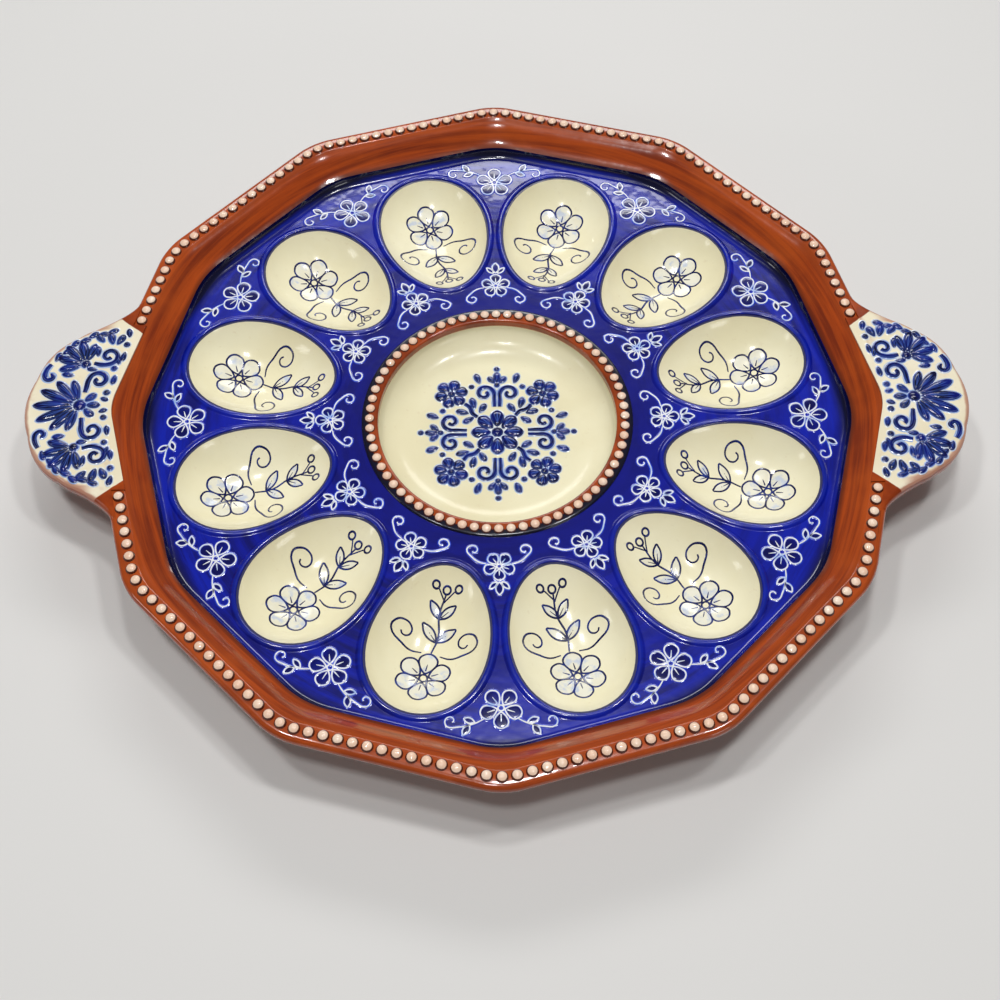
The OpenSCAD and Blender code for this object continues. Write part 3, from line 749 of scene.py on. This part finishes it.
# The two handles are flat scalloped ears, cast with the rim and let into its ledge. They are cream on top,
# and their rounded edge shows the brown glaze, which thins to pink over the scallops.
ear_low, ear_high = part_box("handle_right")
ear_z = ear_high[2]
ear_half = 41.8 * MM        # half width of the oval that the ear is cut from
ear_x = (root_a + rim_w - roll_r) / cos(side_turn / 2) - ledge_w      # middle of that oval
ear_reach = ear_high[0] - ear_x
ear_end = radians(73.4)     # how far round the oval the scallops go
ear_steps = 99
ear_round = 2.4 * MM
ear_round_steps = 5
scallop = 0.8 * MM
scallops = 9
root_y = ear_half - 0.5 * MM
fillet_y = ear_half + 13 * MM
fillet_steps = 12
fillet_bend = (1.3, 0.8)
seat_in = root_a + rim_w - roll_r - ledge_w - crest_w / 2
seat_out = root_a + rim_w - roll_r
seat_steps = 12


def on_side(reach, y):
    """Point of the side next to the right handle, at this y"""
    return (reach - abs(y) * sin(side_turn / 2)) / cos(side_turn / 2), y


def ear_point(turn):
    """Point of the scalloped edge of the right handle"""
    wave = scallop * (1 - abs(cos(turn * scallops / 2)))
    return ear_x + (ear_reach - wave) * cos(turn), (ear_half - wave) * sin(turn)


corner = corner_core / cos(side_turn / 2)
seat = [on_side(seat_out, y) for y in (fillet_y, root_y)] + [on_side(seat_in, root_y)]
for i in range(seat_steps + 1):
    turn = side_turn / 2 * (1 - 2 * i / seat_steps)
    seat.append((corner + (seat_in - corner_core) * cos(turn), (seat_in - corner_core) * sin(turn)))
seat += [on_side(seat_in, -root_y)] + [on_side(seat_out, -y) for y in (root_y, fillet_y)]
start, end = on_side(root_a + rim_w, -fillet_y), ear_point(-ear_end)
fillet = []
for i in range(fillet_steps):
    along, aside = ((i / fillet_steps) ** bend for bend in fillet_bend)
    fillet.append((start[0] + (end[0] - start[0]) * along, start[1] + (end[1] - start[1]) * aside))
ear_line = seat + fillet + [ear_point(ear_end * (2 * i / ear_steps - 1)) for i in range(ear_steps + 1)]
ear_line += [(px, -py) for px, py in reversed(fillet)]


def ear_plate(low, high, rounding):
    """A plate with the outline of the right handle, its free edge rounded above and below"""
    count = len(ear_line)
    plate = start_loop(1, 1, 0, count, fill="NGON")
    lower = [-i * pi / (2 * ear_round_steps) for i in range(ear_round_steps, -1, -1)]
    turns = lower + [-turn for turn in reversed(lower)]
    for _ in turns[1:]:
        next_loop(1, 1, 1 * MM)
    bpy.ops.object.mode_set(mode="OBJECT")
    for v in plate.data.vertices:
        i = round((atan2(v.co.x, v.co.y) / (2 * pi)) * count) % count
        layer = round(v.co.z / MM)
        px, py = ear_line[i]
        spread = min(1, max(0, (fillet_y - abs(py)) / (fillet_y - root_y)))
        top = high - (high - ledge_z) * (1 - spread) ** 2 if rounding else high
        inwards = Vector((0, 0))
        if rounding and i >= len(seat):
            after, before = ear_line[(i + 1) % count], ear_line[i - 1]
            inwards = Vector((before[1] - after[1], after[0] - before[0])).normalized()
        turn = turns[layer]
        v.co.x, v.co.y = Vector((px, py)) + inwards * rounding * (1 - cos(turn))
        if layer < len(lower):
            v.co.z = low + rounding * (sin(turn) + 1)
        else:
            v.co.z = top + rounding * (sin(turn) - 1)
    return plate


ear_cream_thick = (0.85, 0.76, 0.54)
ear_cream_thin = (0.94, 0.87, 0.68)
ear_flush = (0.46, 0.15, 0.09)
ear_brown_thick = (0.24, 0.032, 0.005)
ear_brown_thin = (0.40, 0.062, 0.008)
ear_glaze, tree, shader, place, base = creamy("handle_glaze", ear_cream_thick, ear_cream_thin)
x, y, z = put(tree, "SeparateXYZ", {0: place}).outputs
unsteady = calc(tree, "MULTIPLY", mottle(tree, place, 160, 3.0), 1.0 * MM)
level = calc(tree, "ADD", z, unsteady)
flush = fade(tree, level, ear_z + 0.4 * MM, ear_z - 0.1 * MM, 0, 0.85)
beside = calc(tree, "DIVIDE", calc(tree, "SUBTRACT", calc(tree, "ABSOLUTE", x), ear_x), ear_reach)
oval = put(tree, "CombineXYZ", {0: beside, 1: calc(tree, "DIVIDE", y, ear_half)}).outputs[0]
near_edge = put(tree, "VectorMath", {0: oval}, operation="LENGTH").outputs["Value"]
near_edge = wandering(tree, near_edge, mottle(tree, place, 120, 3.0), 0.05)
near_edge = fade(tree, near_edge, 0.95, 0.985, 0, 0.75)
near_edge = calc(tree, "MULTIPLY", near_edge, fade(tree, beside, 0.0, 0.2))
flush = calc(tree, "MAXIMUM", flush, near_edge)
base = tint(tree, flush, base, ear_flush)
streak = tint(tree, drift(tree, place, 90), ear_brown_thick, ear_brown_thin)
base = tint(tree, fade(tree, level, ear_z - 0.7 * MM, ear_z - 1.5 * MM), base, streak)
ends = calc(tree, "MULTIPLY", calc(tree, "ABSOLUTE", x), 0.8)
ends = calc(tree, "SUBTRACT", calc(tree, "ABSOLUTE", y), ends)
ends = calc(tree, "ADD", ends, unsteady)
base = tint(tree, fade(tree, ends, -85.0 * MM, -84.5 * MM), base, streak)
tree.links.new(base, shader.inputs["Base Color"])

for name, place in (("handle_right", no_turn), ("handle_left", half_turn)):
    cutter = ear_plate(ear_low[2] - overrun, ear_z + overrun, 0)
    cutter.data.transform(place)
    cut_by(rim, cutter)
    ear = ear_plate(ear_low[2], ear_z, ear_round)
    ear.data.transform(place)
    set_on_platter(ear, name + "_glazed", ear_glaze, "cream_glaze", name)


# The white sprigs on the blue field are lines of slip, trailed on before the glaze: one in every corner of
# the tray and one between each two wells on the side of the dish. The blue lies thin and pale round the
# lines and pools dark in the petals and leaves.
trail_w = 0.85 * MM
trail_h = 0.32 * MM
film_h = 0.12               # thickness of glaze or slip that fills a petal, in mm
pointed = (0.8, 0)          # shape of a leaf, sharp at both ends and widest in the middle


def drawn(rows, width, height):
    """Raised lines through rows of x, y and share of the width, in mm, closed if a row ends as it began"""
    bpy.ops.object.select_all(action="DESELECT")
    bpy.ops.curve.primitive_bezier_curve_add()
    bpy.ops.object.mode_set(mode="EDIT")
    bpy.ops.curve.select_all(action="SELECT")
    bpy.ops.curve.delete(type="VERT")
    for row in rows:
        closed = row[0] == row[-1]
        bpy.ops.curve.select_all(action="DESELECT")
        for px, py, _ in row[:-1] if closed else row:
            bpy.ops.curve.vertex_add(location=(px * MM, py * MM, 0))
        bpy.ops.curve.select_linked()
        bpy.ops.curve.handle_type_set(type="AUTOMATIC")
        if closed:
            bpy.ops.curve.cyclic_toggle(direction="CYCLIC_U")
    bpy.ops.object.mode_set(mode="OBJECT")
    line = bpy.context.object
    for spline, row in zip(line.data.splines, rows):
        for point, (_, _, share) in zip(spline.bezier_points, row):
            point.radius = share
    line.data.bevel_depth = width / 2
    line.data.bevel_resolution = 1
    line.data.resolution_u = 4
    line.data.use_fill_caps = True
    bpy.ops.object.convert(target="MESH")
    bpy.ops.object.mode_set(mode="EDIT")
    bpy.ops.mesh.select_all(action="SELECT")
    bpy.ops.transform.resize(value=(1, 1, 2 * height / width), center_override=(0, 0, 0))
    bpy.ops.object.mode_set(mode="OBJECT")
    return line


def curl(x, y, reach, start, turn):
    """Row of points that winds in from this reach round x, y, thinner towards its end; angles in degrees"""
    row = []
    for share in (i / 8 for i in range(9)):
        out = reach * (1 - 0.78 * share)
        angle = radians(start + turn * share)
        row.append((x + out * cos(angle), y + out * sin(angle), 1 - 0.2 * share))
    return row


def mirrored(rows):
    """The rows and their mirror images over the middle line"""
    return rows + [[(px, -py, share) for px, py, share in row] for row in rows]


def petal_shape(along, across, sharp, full):
    """Bends a round outline into a petal: how sharp its ends are and how much fuller it is near the tip"""
    return across * (1 - along ** 2) ** (sharp / 2) * (1 + full * along)


def petal_row(x, y, turn, length, width, sharp=0.3, full=0.35):
    """Outline of a petal with its base at x, y, as a closed row"""
    row = []
    bearing = radians(turn)
    for i in range(11):
        angle = 2 * pi * (i % 10) / 10
        along = -cos(angle)
        px = (along + 1) * length / 2
        py = petal_shape(along, sin(angle), sharp, full) * width / 2
        row.append((x + px * cos(bearing) - py * sin(bearing), y + px * sin(bearing) + py * cos(bearing), 1))
    return row


def berry_row(x, y, reach):
    """Outline of a berry or of the eye of a flower, as a closed row"""
    return [(x + reach * cos(i * pi / 3), y + reach * sin(i * pi / 3), 1) for i in (0, 1, 2, 3, 4, 5, 0)]


def daisy_rows(x, petals, inner, length, width, vein):
    """Outlines of a round flower on the middle line, with a vein over this share of each petal"""
    rows = [berry_row(x, 0, inner * 0.7)]
    veins = ((inner + 0.12 * length, 0.9), (inner + 0.35 * length, 0.8), (inner + vein * length, 0.4))
    for i in range(petals):
        turn = 360 * i / petals
        bearing = radians(turn)
        rows.append(petal_row(x + inner * cos(bearing), inner * sin(bearing), turn, length, width))
        rows.append([(x + out * cos(bearing), out * sin(bearing), share) for out, share in veins])
    return rows


def film(piece, spread, height):
    """A thin film of glaze that has run out round the foot of raised work"""
    sheet = copied(piece, no_turn)
    chosen(sheet)
    bpy.ops.object.mode_set(mode="EDIT")
    bpy.ops.mesh.select_all(action="SELECT")
    bpy.ops.mesh.normals_make_consistent(inside=False)
    bpy.ops.transform.shrink_fatten(value=spread)
    bpy.ops.transform.resize(value=(1, 1, height / spread), center_override=(0, 0, 0))
    bpy.ops.object.mode_set(mode="OBJECT")
    return sheet


def flat_at(height):
    """A flat surface at this height"""
    return lambda x, y: height


def lifted(piece, surface):
    """Lays flat work on a surface, given as its height at x and y"""
    for v in piece.data.vertices:
        v.co.z += surface(v.co.x, v.co.y)
    return piece


def petal(length, width, rise, sharp=0.35, full=0.3, bent=False):
    """A domed petal or leaf along x from its base, in mm, with its own coordinates for the veins

    One that is bent over a bowl gets rings on its underside too, so that this follows the bowl.
    """
    form = start_loop(length / 2 * MM, width / 2 * MM, 0, 20, fill="NOTHING" if bent else "NGON")
    before, below = 1, 0
    for share, level in ((0.93, 0.55), (0.75, 0.85), (0.5, 1), (0.2, 1)):
        next_loop(share / before, share / before, (level - below) * rise * MM)
        before, below = share, level
    bpy.ops.mesh.merge(type="CENTER")
    if bent:
        pick_open_edges()
        for share in (0.75, 0.6, 0.5):
            next_loop(share, share, 0)
        close_pole()
    bpy.ops.object.mode_set(mode="OBJECT")
    veins = form.data.uv_layers.new(name="veins")
    for corner in form.data.loops:
        spot = form.data.vertices[corner.vertex_index].co
        veins.data[corner.index].uv = spot.x / length / MM + 0.5, spot.y / width / MM + 0.5
    for v in form.data.vertices:
        along = min(1, max(-1, 2 * v.co.x / (length * MM)))
        v.co.y = petal_shape(along, v.co.y, sharp, full)
        v.co.x += length / 2 * MM
    return form


def laid(x, y, turn=0.0):
    """Place in mm and bearing in degrees of a petal"""
    return Matrix.Translation((x * MM, y * MM, 0)) @ Matrix.Rotation(radians(turn), 4, "Z")


def laid_off(x, y, turn, inner):
    """Place of a petal that starts this far from the middle of its flower"""
    return laid(x, y, turn) @ Matrix.Translation((inner * MM, 0, 0))


def round_places(x, petals, inner):
    """Places of the petals of a round flower on the middle line"""
    return [laid_off(x, 0, 360 * i / petals, inner) for i in range(petals)]


def petal_at(place, length, width, rise, *shape):
    """One petal or leaf at this place"""
    form = petal(length, width, rise, *shape)
    form.data.transform(place)
    return form


def leaf_fills(leaves, bent=False):
    """Thin fills for leaves, each given as its x, y, turn, length and width"""
    return [petal_at(laid(*leaf[:3]), *leaf[3:], film_h, *pointed, bent) for leaf in leaves]


def drifting_glaze(name, roughness, ripple, clouds, first, second):
    """A glaze of two colours in clouds: scale and depth of its ripple, scale and range of the clouds"""
    finish, tree, shader, place = glaze(name, roughness, *ripple)
    scale, start, end = clouds
    share = fade(tree, mottle(tree, place, scale, 2.0), start, end)
    tree.links.new(tint(tree, share, first, second), shader.inputs["Base Color"])
    return finish


slip_white = (0.90, 0.92, 0.94)
slip_under_blue = (0.36, 0.52, 0.88)
blue_thin = (0.004, 0.016, 0.40)
blue_faint = (0.015, 0.06, 0.60)
navy_thick = (0.0008, 0.002, 0.08)
navy_thin = (0.001, 0.006, 0.20)
trail = drifting_glaze("trailed_slip", 0.2, (300, 0.06 * MM), (170, 0.45, 0.75), slip_white, slip_under_blue)
pale_blue = drifting_glaze("pale_blue_glaze", 0.2, (200, 0.06 * MM), (120, 0.35, 0.7), blue_thin, blue_faint)
navy = drifting_glaze("pooled_navy_glaze", 0.18, (200, 0.06 * MM), (160, 0.35, 0.7), navy_thick, navy_thin)

# flowers: x of the middle, petals, clear middle, length and width of a petal, share with a vein
# leaves: x, y, turn, length and width
corner_flower = (132.5, 5, 1.7, 6.6, 5.4, 0.62)
corner_leaves = [(139.4, 12.2, 33, 4.6, 2.5), (138.3, 10.2, 112, 4.4, 2.2)]
corner_leaves += [(px, -py, -turn, *size) for px, py, turn, *size in corner_leaves]
corner_stem = [(136.9, 6.6, 0.7), (138.4, 9.4, 1), (139.6, 13.2, 1), (140.1, 16.4, 1)]
corner_stem += curl(137.6, 19.2, 3.0, -12, 330)[1:]
ring_flower = (71.3, 5, 1.4, 4.9, 4.3, 0.6)
ring_leaves = [(78.6, 0, 0, 5.6, 3.0), (78.4, 1.0, 44, 4.2, 1.9), (78.4, -1.0, -44, 4.2, 1.9)]
ring_stem = [(70.2, 5.2, 0.7), (69.3, 8.3, 1), (67.0, 11.0, 1)] + curl(63.9, 10.4, 3.0, 55, 350)[1:]
corners = [Matrix.Rotation(i * side_turn, 4, "Z") for i in range(sides)]
for name, flower, leaves, stem in (
    ("corner_sprigs", corner_flower, corner_leaves, corner_stem),
    ("ring_sprigs", ring_flower, ring_leaves, ring_stem),
):
    rows = daisy_rows(*flower) + [petal_row(*leaf, *pointed) for leaf in leaves] + mirrored([stem])
    line = drawn(rows, trail_w, trail_h)
    pale = film(line, 0.35 * MM, 0.07 * MM)
    flower_x, petals, inner, length, width, _ = flower
    pools = [repeated(petal(length, width, film_h), round_places(flower_x, petals, inner))]
    pool = joined(pools + leaf_fills(leaves))
    for work, ending, finish, slot in (
        (line, "", trail, "bead_glaze"),
        (pale, "_pale", pale_blue, "cobalt_glaze"),
        (pool, "_pools", navy, "cobalt_glaze"),
    ):
        work = lifted(repeated(work, corners), flat_at(floor_z))
        set_on_platter(work, name + ending, finish, slot)


# A sprig with a daisy, leaves, berries and curls is drawn in each egg well: dark blue lines over thin white
# slip with a little blue washed into it. They follow the bowl and stand up just enough to catch the light.
well_line_w = 0.9 * MM
well_line_h = 0.26 * MM
ink_thick = (0.004, 0.007, 0.07)
ink_thin = (0.02, 0.045, 0.26)
white_thin = (0.87, 0.85, 0.72)
white_thick = (0.84, 0.80, 0.62)
blue_in_white = (0.42, 0.53, 0.80)
ink = drifting_glaze("dark_blue_line", 0.2, (300, 0.05 * MM), (210, 0.4, 0.75), ink_thick, ink_thin)
white, tree, shader, place = glaze("white_slip", 0.18, 120, 0.06 * MM)
base = tint(tree, drift(tree, place, 130), white_thin, white_thick)
base = tint(tree, fade(tree, mottle(tree, place, 210, 3.0), 0.5, 0.68, 0, 0.6), base, blue_in_white)
tree.links.new(base, shader.inputs["Base Color"])
less_glassy(shader)


def in_bowl(x, y):
    """Height of the inside of a well"""
    return floor_z - bowl_drop(x, y)


well_leaves = [(-3.8, 0.5, 132, 9.1, 3.7), (-13.2, -0.2, 138, 7.7, 3.2)]
well_leaves += [(px, py, -turn, *size) for px, py, turn, *size in well_leaves]
rows = daisy_rows(12.6, 6, 2.3, 8.6, 7.2, 0.55)
rows.append([(1.2, 0, 0.8), (-6, 1.1, 1), (-14.4, -0.8, 1), (-22.3, 0, 0.8)])
rows += [petal_row(*leaf, *pointed) for leaf in well_leaves]
for px, py, turn, _, _ in well_leaves:
    ahead, aside = cos(radians(turn)), sin(radians(turn))
    rows.append([(px + out * ahead, py + out * aside, share) for out, share in ((0.7, 0.8), (5, 0.5))])
rows += mirrored([
    [(-19.4, -0.2, 0.7), (-22.2, 1.8, 0.7), (-24.0, 3.2, 0.7)],
    berry_row(-25.1, 4.7, 1.4),
    [(1.9, 3.8, 0.6), (2.3, 8.4, 0.9), (0.7, 12.2, 1)] + curl(-4.7, 12.7, 5.6, 22, 400)[1:],
])
rows.append(berry_row(-24.1, 0, 1.5))
line = lifted(drawn(rows, well_line_w, well_line_h), in_bowl)
set_on_platter(repeated(line, well_places), "well_sprig_lines", ink, "relief_glaze")
fills = [repeated(petal(8.9, 7.3, film_h, 0.3, 0.35, True), round_places(12.6, 6, 2.2))]
fills = lifted(joined(fills + leaf_fills(well_leaves, True)), in_bowl)
set_on_platter(repeated(fills, well_places), "well_sprig_slip", white, "cream_glaze")


# The ornament in the dish is pressed in a mould and sprigged on: a rosette, four blooms on leafy stems and
# curls between them. It is glazed cobalt, which thins over its edges and along the veins of the petals and
# runs out round its foot in a blue wash with a milky edge.
stem_w = 1.6 * MM
stem_h = 0.78 * MM
leaf_h = 0.95               # heights of leaves, petals and eyes, in mm
petal_h = 1.05
tall_petal_h = 1.1
eye_h = 1.2
relief_dark = (0.001, 0.002, 0.035)
relief_bright = (0.002, 0.009, 0.19)
relief_vein = (0.06, 0.13, 0.50)
relief_edge = (0.07, 0.15, 0.50)
relief_foot = (0.004, 0.007, 0.045)
wash_thick = (0.003, 0.006, 0.085)
wash_thin = (0.03, 0.07, 0.36)
milk_white = (0.72, 0.76, 0.78)
milk_blue = (0.30, 0.42, 0.70)


def relief_blue(name, foot_z):
    """Cobalt on raised work that stands at this height, paler on the edges and along the petals' veins"""
    finish, tree, shader, place = glaze(name, 0.14, 260, 0.07 * MM)
    clouds = fade(tree, mottle(tree, place, 150, 3.0), 0.36, 0.68)
    base = tint(tree, clouds, relief_dark, relief_bright)
    petal_map = put(tree, "UVMap", {}, uv_map="veins").outputs[0]
    u, v, _ = put(tree, "SeparateXYZ", {0: petal_map}).outputs
    side = calc(tree, "ABSOLUTE", calc(tree, "SUBTRACT", v, 0.5))
    fan = calc(tree, "MULTIPLY", calc(tree, "SUBTRACT", u, 0.08), 0.38)
    aside = calc(tree, "ABSOLUTE", calc(tree, "SUBTRACT", side, fan))
    vein = calc(tree, "MAXIMUM", fade(tree, side, 0.07, 0.02), fade(tree, aside, 0.05, 0.015, 0, 0.7))
    inside = calc(tree, "MULTIPLY", fade(tree, u, 0.1, 0.25), fade(tree, u, 0.86, 0.7))
    vein = calc(tree, "MULTIPLY", vein, inside)
    base = tint(tree, calc(tree, "MULTIPLY", vein, 0.75), base, relief_vein)
    normal = put(tree, "NewGeometry", {}).outputs["Normal"]
    up = put(tree, "SeparateXYZ", {0: normal}).outputs[2]
    edge = calc(tree, "MULTIPLY", fade(tree, up, 0.86, 0.62), fade(tree, up, 0.12, 0.4))
    base = tint(tree, calc(tree, "MULTIPLY", edge, 0.45), base, relief_edge)
    foot = fade(tree, height_of(tree, place), foot_z + 0.3 * MM, foot_z, 0, 0.85)
    base = tint(tree, foot, base, relief_foot)
    tree.links.new(base, shader.inputs["Base Color"])
    return finish


wash = drifting_glaze("blue_wash", 0.18, (200, 0.05 * MM), (130, 0.36, 0.66), wash_thick, wash_thin)
milky = drifting_glaze("milky_blue_glaze", 0.18, (200, 0.05 * MM), (150, 0.36, 0.66), milk_white, milk_blue)


def eye(x, y, reach, rise):
    """The button in the middle of a flower, or a small bead beside it"""
    button = bead_shape(2 * reach * MM, rise * MM, rise * MM, 12)
    button.data.transform(laid(x, y))
    return button


def leaf_pair(x, y, turn, length, width):
    """A leaf and its mirror image over the middle line"""
    return repeated(petal(length, width, leaf_h), [laid(x, y, turn), laid(x, -y, -turn)])


def glazed_relief(work, height, name, finish, spreads):
    """Lays raised work on a flat place, over a wash and a milky film that spread this far round it, in mm"""
    films = [film(work, spread * MM, thick * MM) for spread, thick in zip(spreads, (0.1, 0.05))]
    for piece, ending, glazing, slot, *nodes in (
        (work, "_glazed", finish, "relief_glaze", name),
        (films[0], "_wash", wash, "relief_glaze"),
        (films[1], "_pale", milky, "cream_glaze"),
    ):
        set_on_platter(lifted(piece, flat_at(height)), name + ending, glazing, slot, *nodes)


parts = [drawn([[(11.7, 0.5, 0.9), (14.5, 0.7, 1), (17.6, -0.7, 1), (20.4, -0.5, 0.9)]], stem_w, stem_h)]
parts.append(repeated(petal(5.5, 4.8, petal_h), round_places(28.3, 6, 1.8)))
parts.append(eye(28.3, 0, 1.53, eye_h))
parts += [leaf_pair(*leaf) for leaf in ((15.8, 1.9, 30, 5.6, 2.7), (12.7, 1.8, 76, 5.2, 2.6))]
parts = [repeated(joined(parts), [laid(0, 0, 45)])]
curls = mirrored([[(13.2, 1.08, 0.7), (17.0, 1.22, 0.9)] + curl(20.2, 5.4, 4.0, -75, 400)])
parts.append(drawn(curls, stem_w, stem_h))
parts.append(petal_at(laid(26.0, 0), 5.4, 2.8, 1.0))
parts += [leaf_pair(*leaf) for leaf in ((25.63, 0.97, 42, 4.4, 2.4), (25.6, 7.6, 20, 5.4, 2.6))]
parts += [eye(*spot, 1.15, leaf_h) for spot in ((24.6, 0), (33.2, 0), (23.8, 11.2), (23.8, -11.2))]
rosette = [repeated(petal(8.4, 5.5, tall_petal_h), round_places(0, 8, 2.88)), eye(0, 0, 2.45, eye_h)]
quarters = [Matrix.Rotation(i * pi / 2, 4, "Z") for i in range(4)]
relief = joined([repeated(joined(parts), quarters)] + rosette)
glazed_relief(relief, dish_z, "centre_relief", relief_blue("dish_relief_glaze", dish_z), (0.3, 0.8))


# The ornament on each handle is sprigged on in the same way: a fan of petals at the tip with scrolls,
# flowers and small leaves beside it. Single strokes of cobalt are painted between them and along the edge.
bloom = (174.8, 20.8)
bloom_petals = ((-14, 9.0, 3.3), (16, 10.4, 3.6), (46, 11.0, 3.8), (76, 10.4, 3.6), (106, 8.6, 3.2))
side_leaves = ((164.6, 31.4, 75, 6.0, 2.8), (162.6, 31.2, 118, 5.4, 2.6), (168.6, 32.6, 50, 5.0, 2.5))
scrolls = [
    [(173.6, 6.4, 0.7), (173.2, 9.4, 1)] + curl(168.4, 12.6, 4.4, 0, 410),
    [(171.4, 21.4, 0.7), (168.4, 20.6, 1)] + curl(165.4, 25.0, 4.3, -90, -410),
    [(189.6, 21.0, 0.7), (191.2, 18.2, 0.9)] + curl(189.2, 14.8, 2.4, 0, -270),
]
side_beads = ((164.4, 6.2), (162.6, 18.6), (158.6, 31.0))
strokes = [(179.6, 15.2, 8, 4.6, 1.9), (161.8, 14.9, -80, 4.4, 1.8), (158.9, 26.8, -78, 4.4, 1.8),
    (157.8, 35.0, 80, 4.2, 2.0), (170.0, 18.0, 8, 4.0, 1.7), (170.2, 25.0, 84, 5.0, 2.0),
    (160.8, 20.8, 70, 4.4, 1.8), (166.4, 3.4, -160, 3.0, 1.5)]
stroke_h = 0.45
edge_strokes = 7
edge_x, edge_y = 30.9, 37.7          # half axes of the oval that they follow
for i in range(edge_strokes):
    turn = radians(37 + 7.6 * i)
    slope = degrees(atan2(edge_y * cos(turn), -edge_x * sin(turn)))
    tilted = slope + (14 if i % 2 else -10)
    strokes.append((ear_x / MM + edge_x * cos(turn), edge_y * sin(turn), tilted, 4.4, 2.1))
fan_x = 175.0
fan_inner = 3.05
fan_petals = ((0, 16.6, 4.3), (24, 15.8, 4.1), (48, 13.2, 3.7), (72, 10, 3.2))

parts = [eye(*bloom, 1.9, 1.1)]
parts += [petal_at(laid_off(*bloom, turn, 2.25), *size, petal_h) for turn, *size in bloom_petals]
parts += [petal_at(laid(*leaf[:3]), *leaf[3:], leaf_h) for leaf in side_leaves]
parts.append(drawn(scrolls, stem_w, stem_h))
parts += [eye(*spot, 1.15, leaf_h) for spot in side_beads]
parts += [petal_at(laid(*stroke[:3]), *stroke[3:], stroke_h) for stroke in strokes]
half = joined(parts)
other = copied(half, Matrix.Scale(-1, 4, (0, 1, 0)))
fan = []
for turn, *size in fan_petals:
    for bearing in sorted({turn, -turn}):
        fan.append(petal_at(laid_off(fan_x, 0, bearing, fan_inner), *size, tall_petal_h))
for turn in (180, 138, -138):
    fan.append(petal_at(laid_off(fan_x, 0, turn, fan_inner), 5.2, 2.7, leaf_h))
fan.append(eye(fan_x, 0, 2.6, eye_h))
right = joined([half, other] + fan)
blue = relief_blue("handle_relief_glaze", ear_z)
for name, place in (("handle_relief_right", no_turn), ("handle_relief_left", half_turn)):
    glazed_relief(copied(right, place), ear_z, name, blue, (0.5, 1.0))
bpy.data.objects.remove(right)


# The stage is no part of the platter: a pale matt floor, soft lamps overhead, a wide one behind that puts a
# sheen on the glaze, two low ones, and a camera that looks down on the platter at the photograph's angle.
bpy.ops.mesh.primitive_plane_add(size=6, location=(0, 0, 0))
ground = bpy.context.object
pale = bpy.data.materials.new("pale_floor")
pale.use_nodes = True
pale.node_tree.nodes["Principled BSDF"].inputs["Base Color"].default_value = (0.75, 0.74, 0.72, 1)
pale.node_tree.nodes["Principled BSDF"].inputs["Roughness"].default_value = 0.7
ground.data.materials.append(pale)

bpy.ops.object.camera_add()
camera = bpy.context.object
camera.data.sensor_width = 36
camera.data.lens = 54.21
camera_tilt = 1.04551
camera_turn = -0.00741
camera_roll = -0.0049
camera_away = 606.272 * MM
aim = Vector((0.964 * MM, -48.762 * MM, 37.8 * MM))
camera.matrix_world = (Matrix.Rotation(camera_turn, 4, "Z") @ Matrix.Translation(aim)
    @ Matrix.Rotation(pi / 2 - camera_tilt, 4, "X") @ Matrix.Rotation(camera_roll, 4, "Z")
    @ Matrix.Translation((0, 0, camera_away)))
bpy.context.scene.camera = camera

softboxes = (          # place, width, height, watts
    ((0.42, 0.05, 1.4), 0.12, 0.12, 3.5),
    ((-0.42, 0.0, 1.4), 0.12, 0.12, 3.6),
    ((0.05, 0.22, 1.45), 0.12, 0.12, 3.4),
    ((-0.1, -0.4, 1.4), 0.12, 0.12, 3.7),
    ((0.05, 1.25, 1.07), 1.1, 0.3, 8),
    ((0.9, -1.1, 0.45), 0.4, 0.2, 1.5),
    ((-1.1, -0.3, 0.5), 0.2, 0.2, 0.7),
)
for place, width, height, watts in softboxes:
    bpy.ops.object.light_add(type="AREA", location=place)
    lamp = bpy.context.object
    lamp.data.shape = "RECTANGLE"
    lamp.data.size = width
    lamp.data.size_y = height
    lamp.data.energy = watts
    lamp.rotation_euler = (-lamp.location).to_track_quat("-Z", "Y").to_euler()
world = bpy.data.worlds.new("studio")
bpy.context.scene.world = world
world.use_nodes = True
world.node_tree.nodes["Background"].inputs["Color"].default_value = (1, 1, 1, 1)
world.node_tree.nodes["Background"].inputs["Strength"].default_value = 0.11
bpy.context.scene.view_settings.view_transform = "Standard"
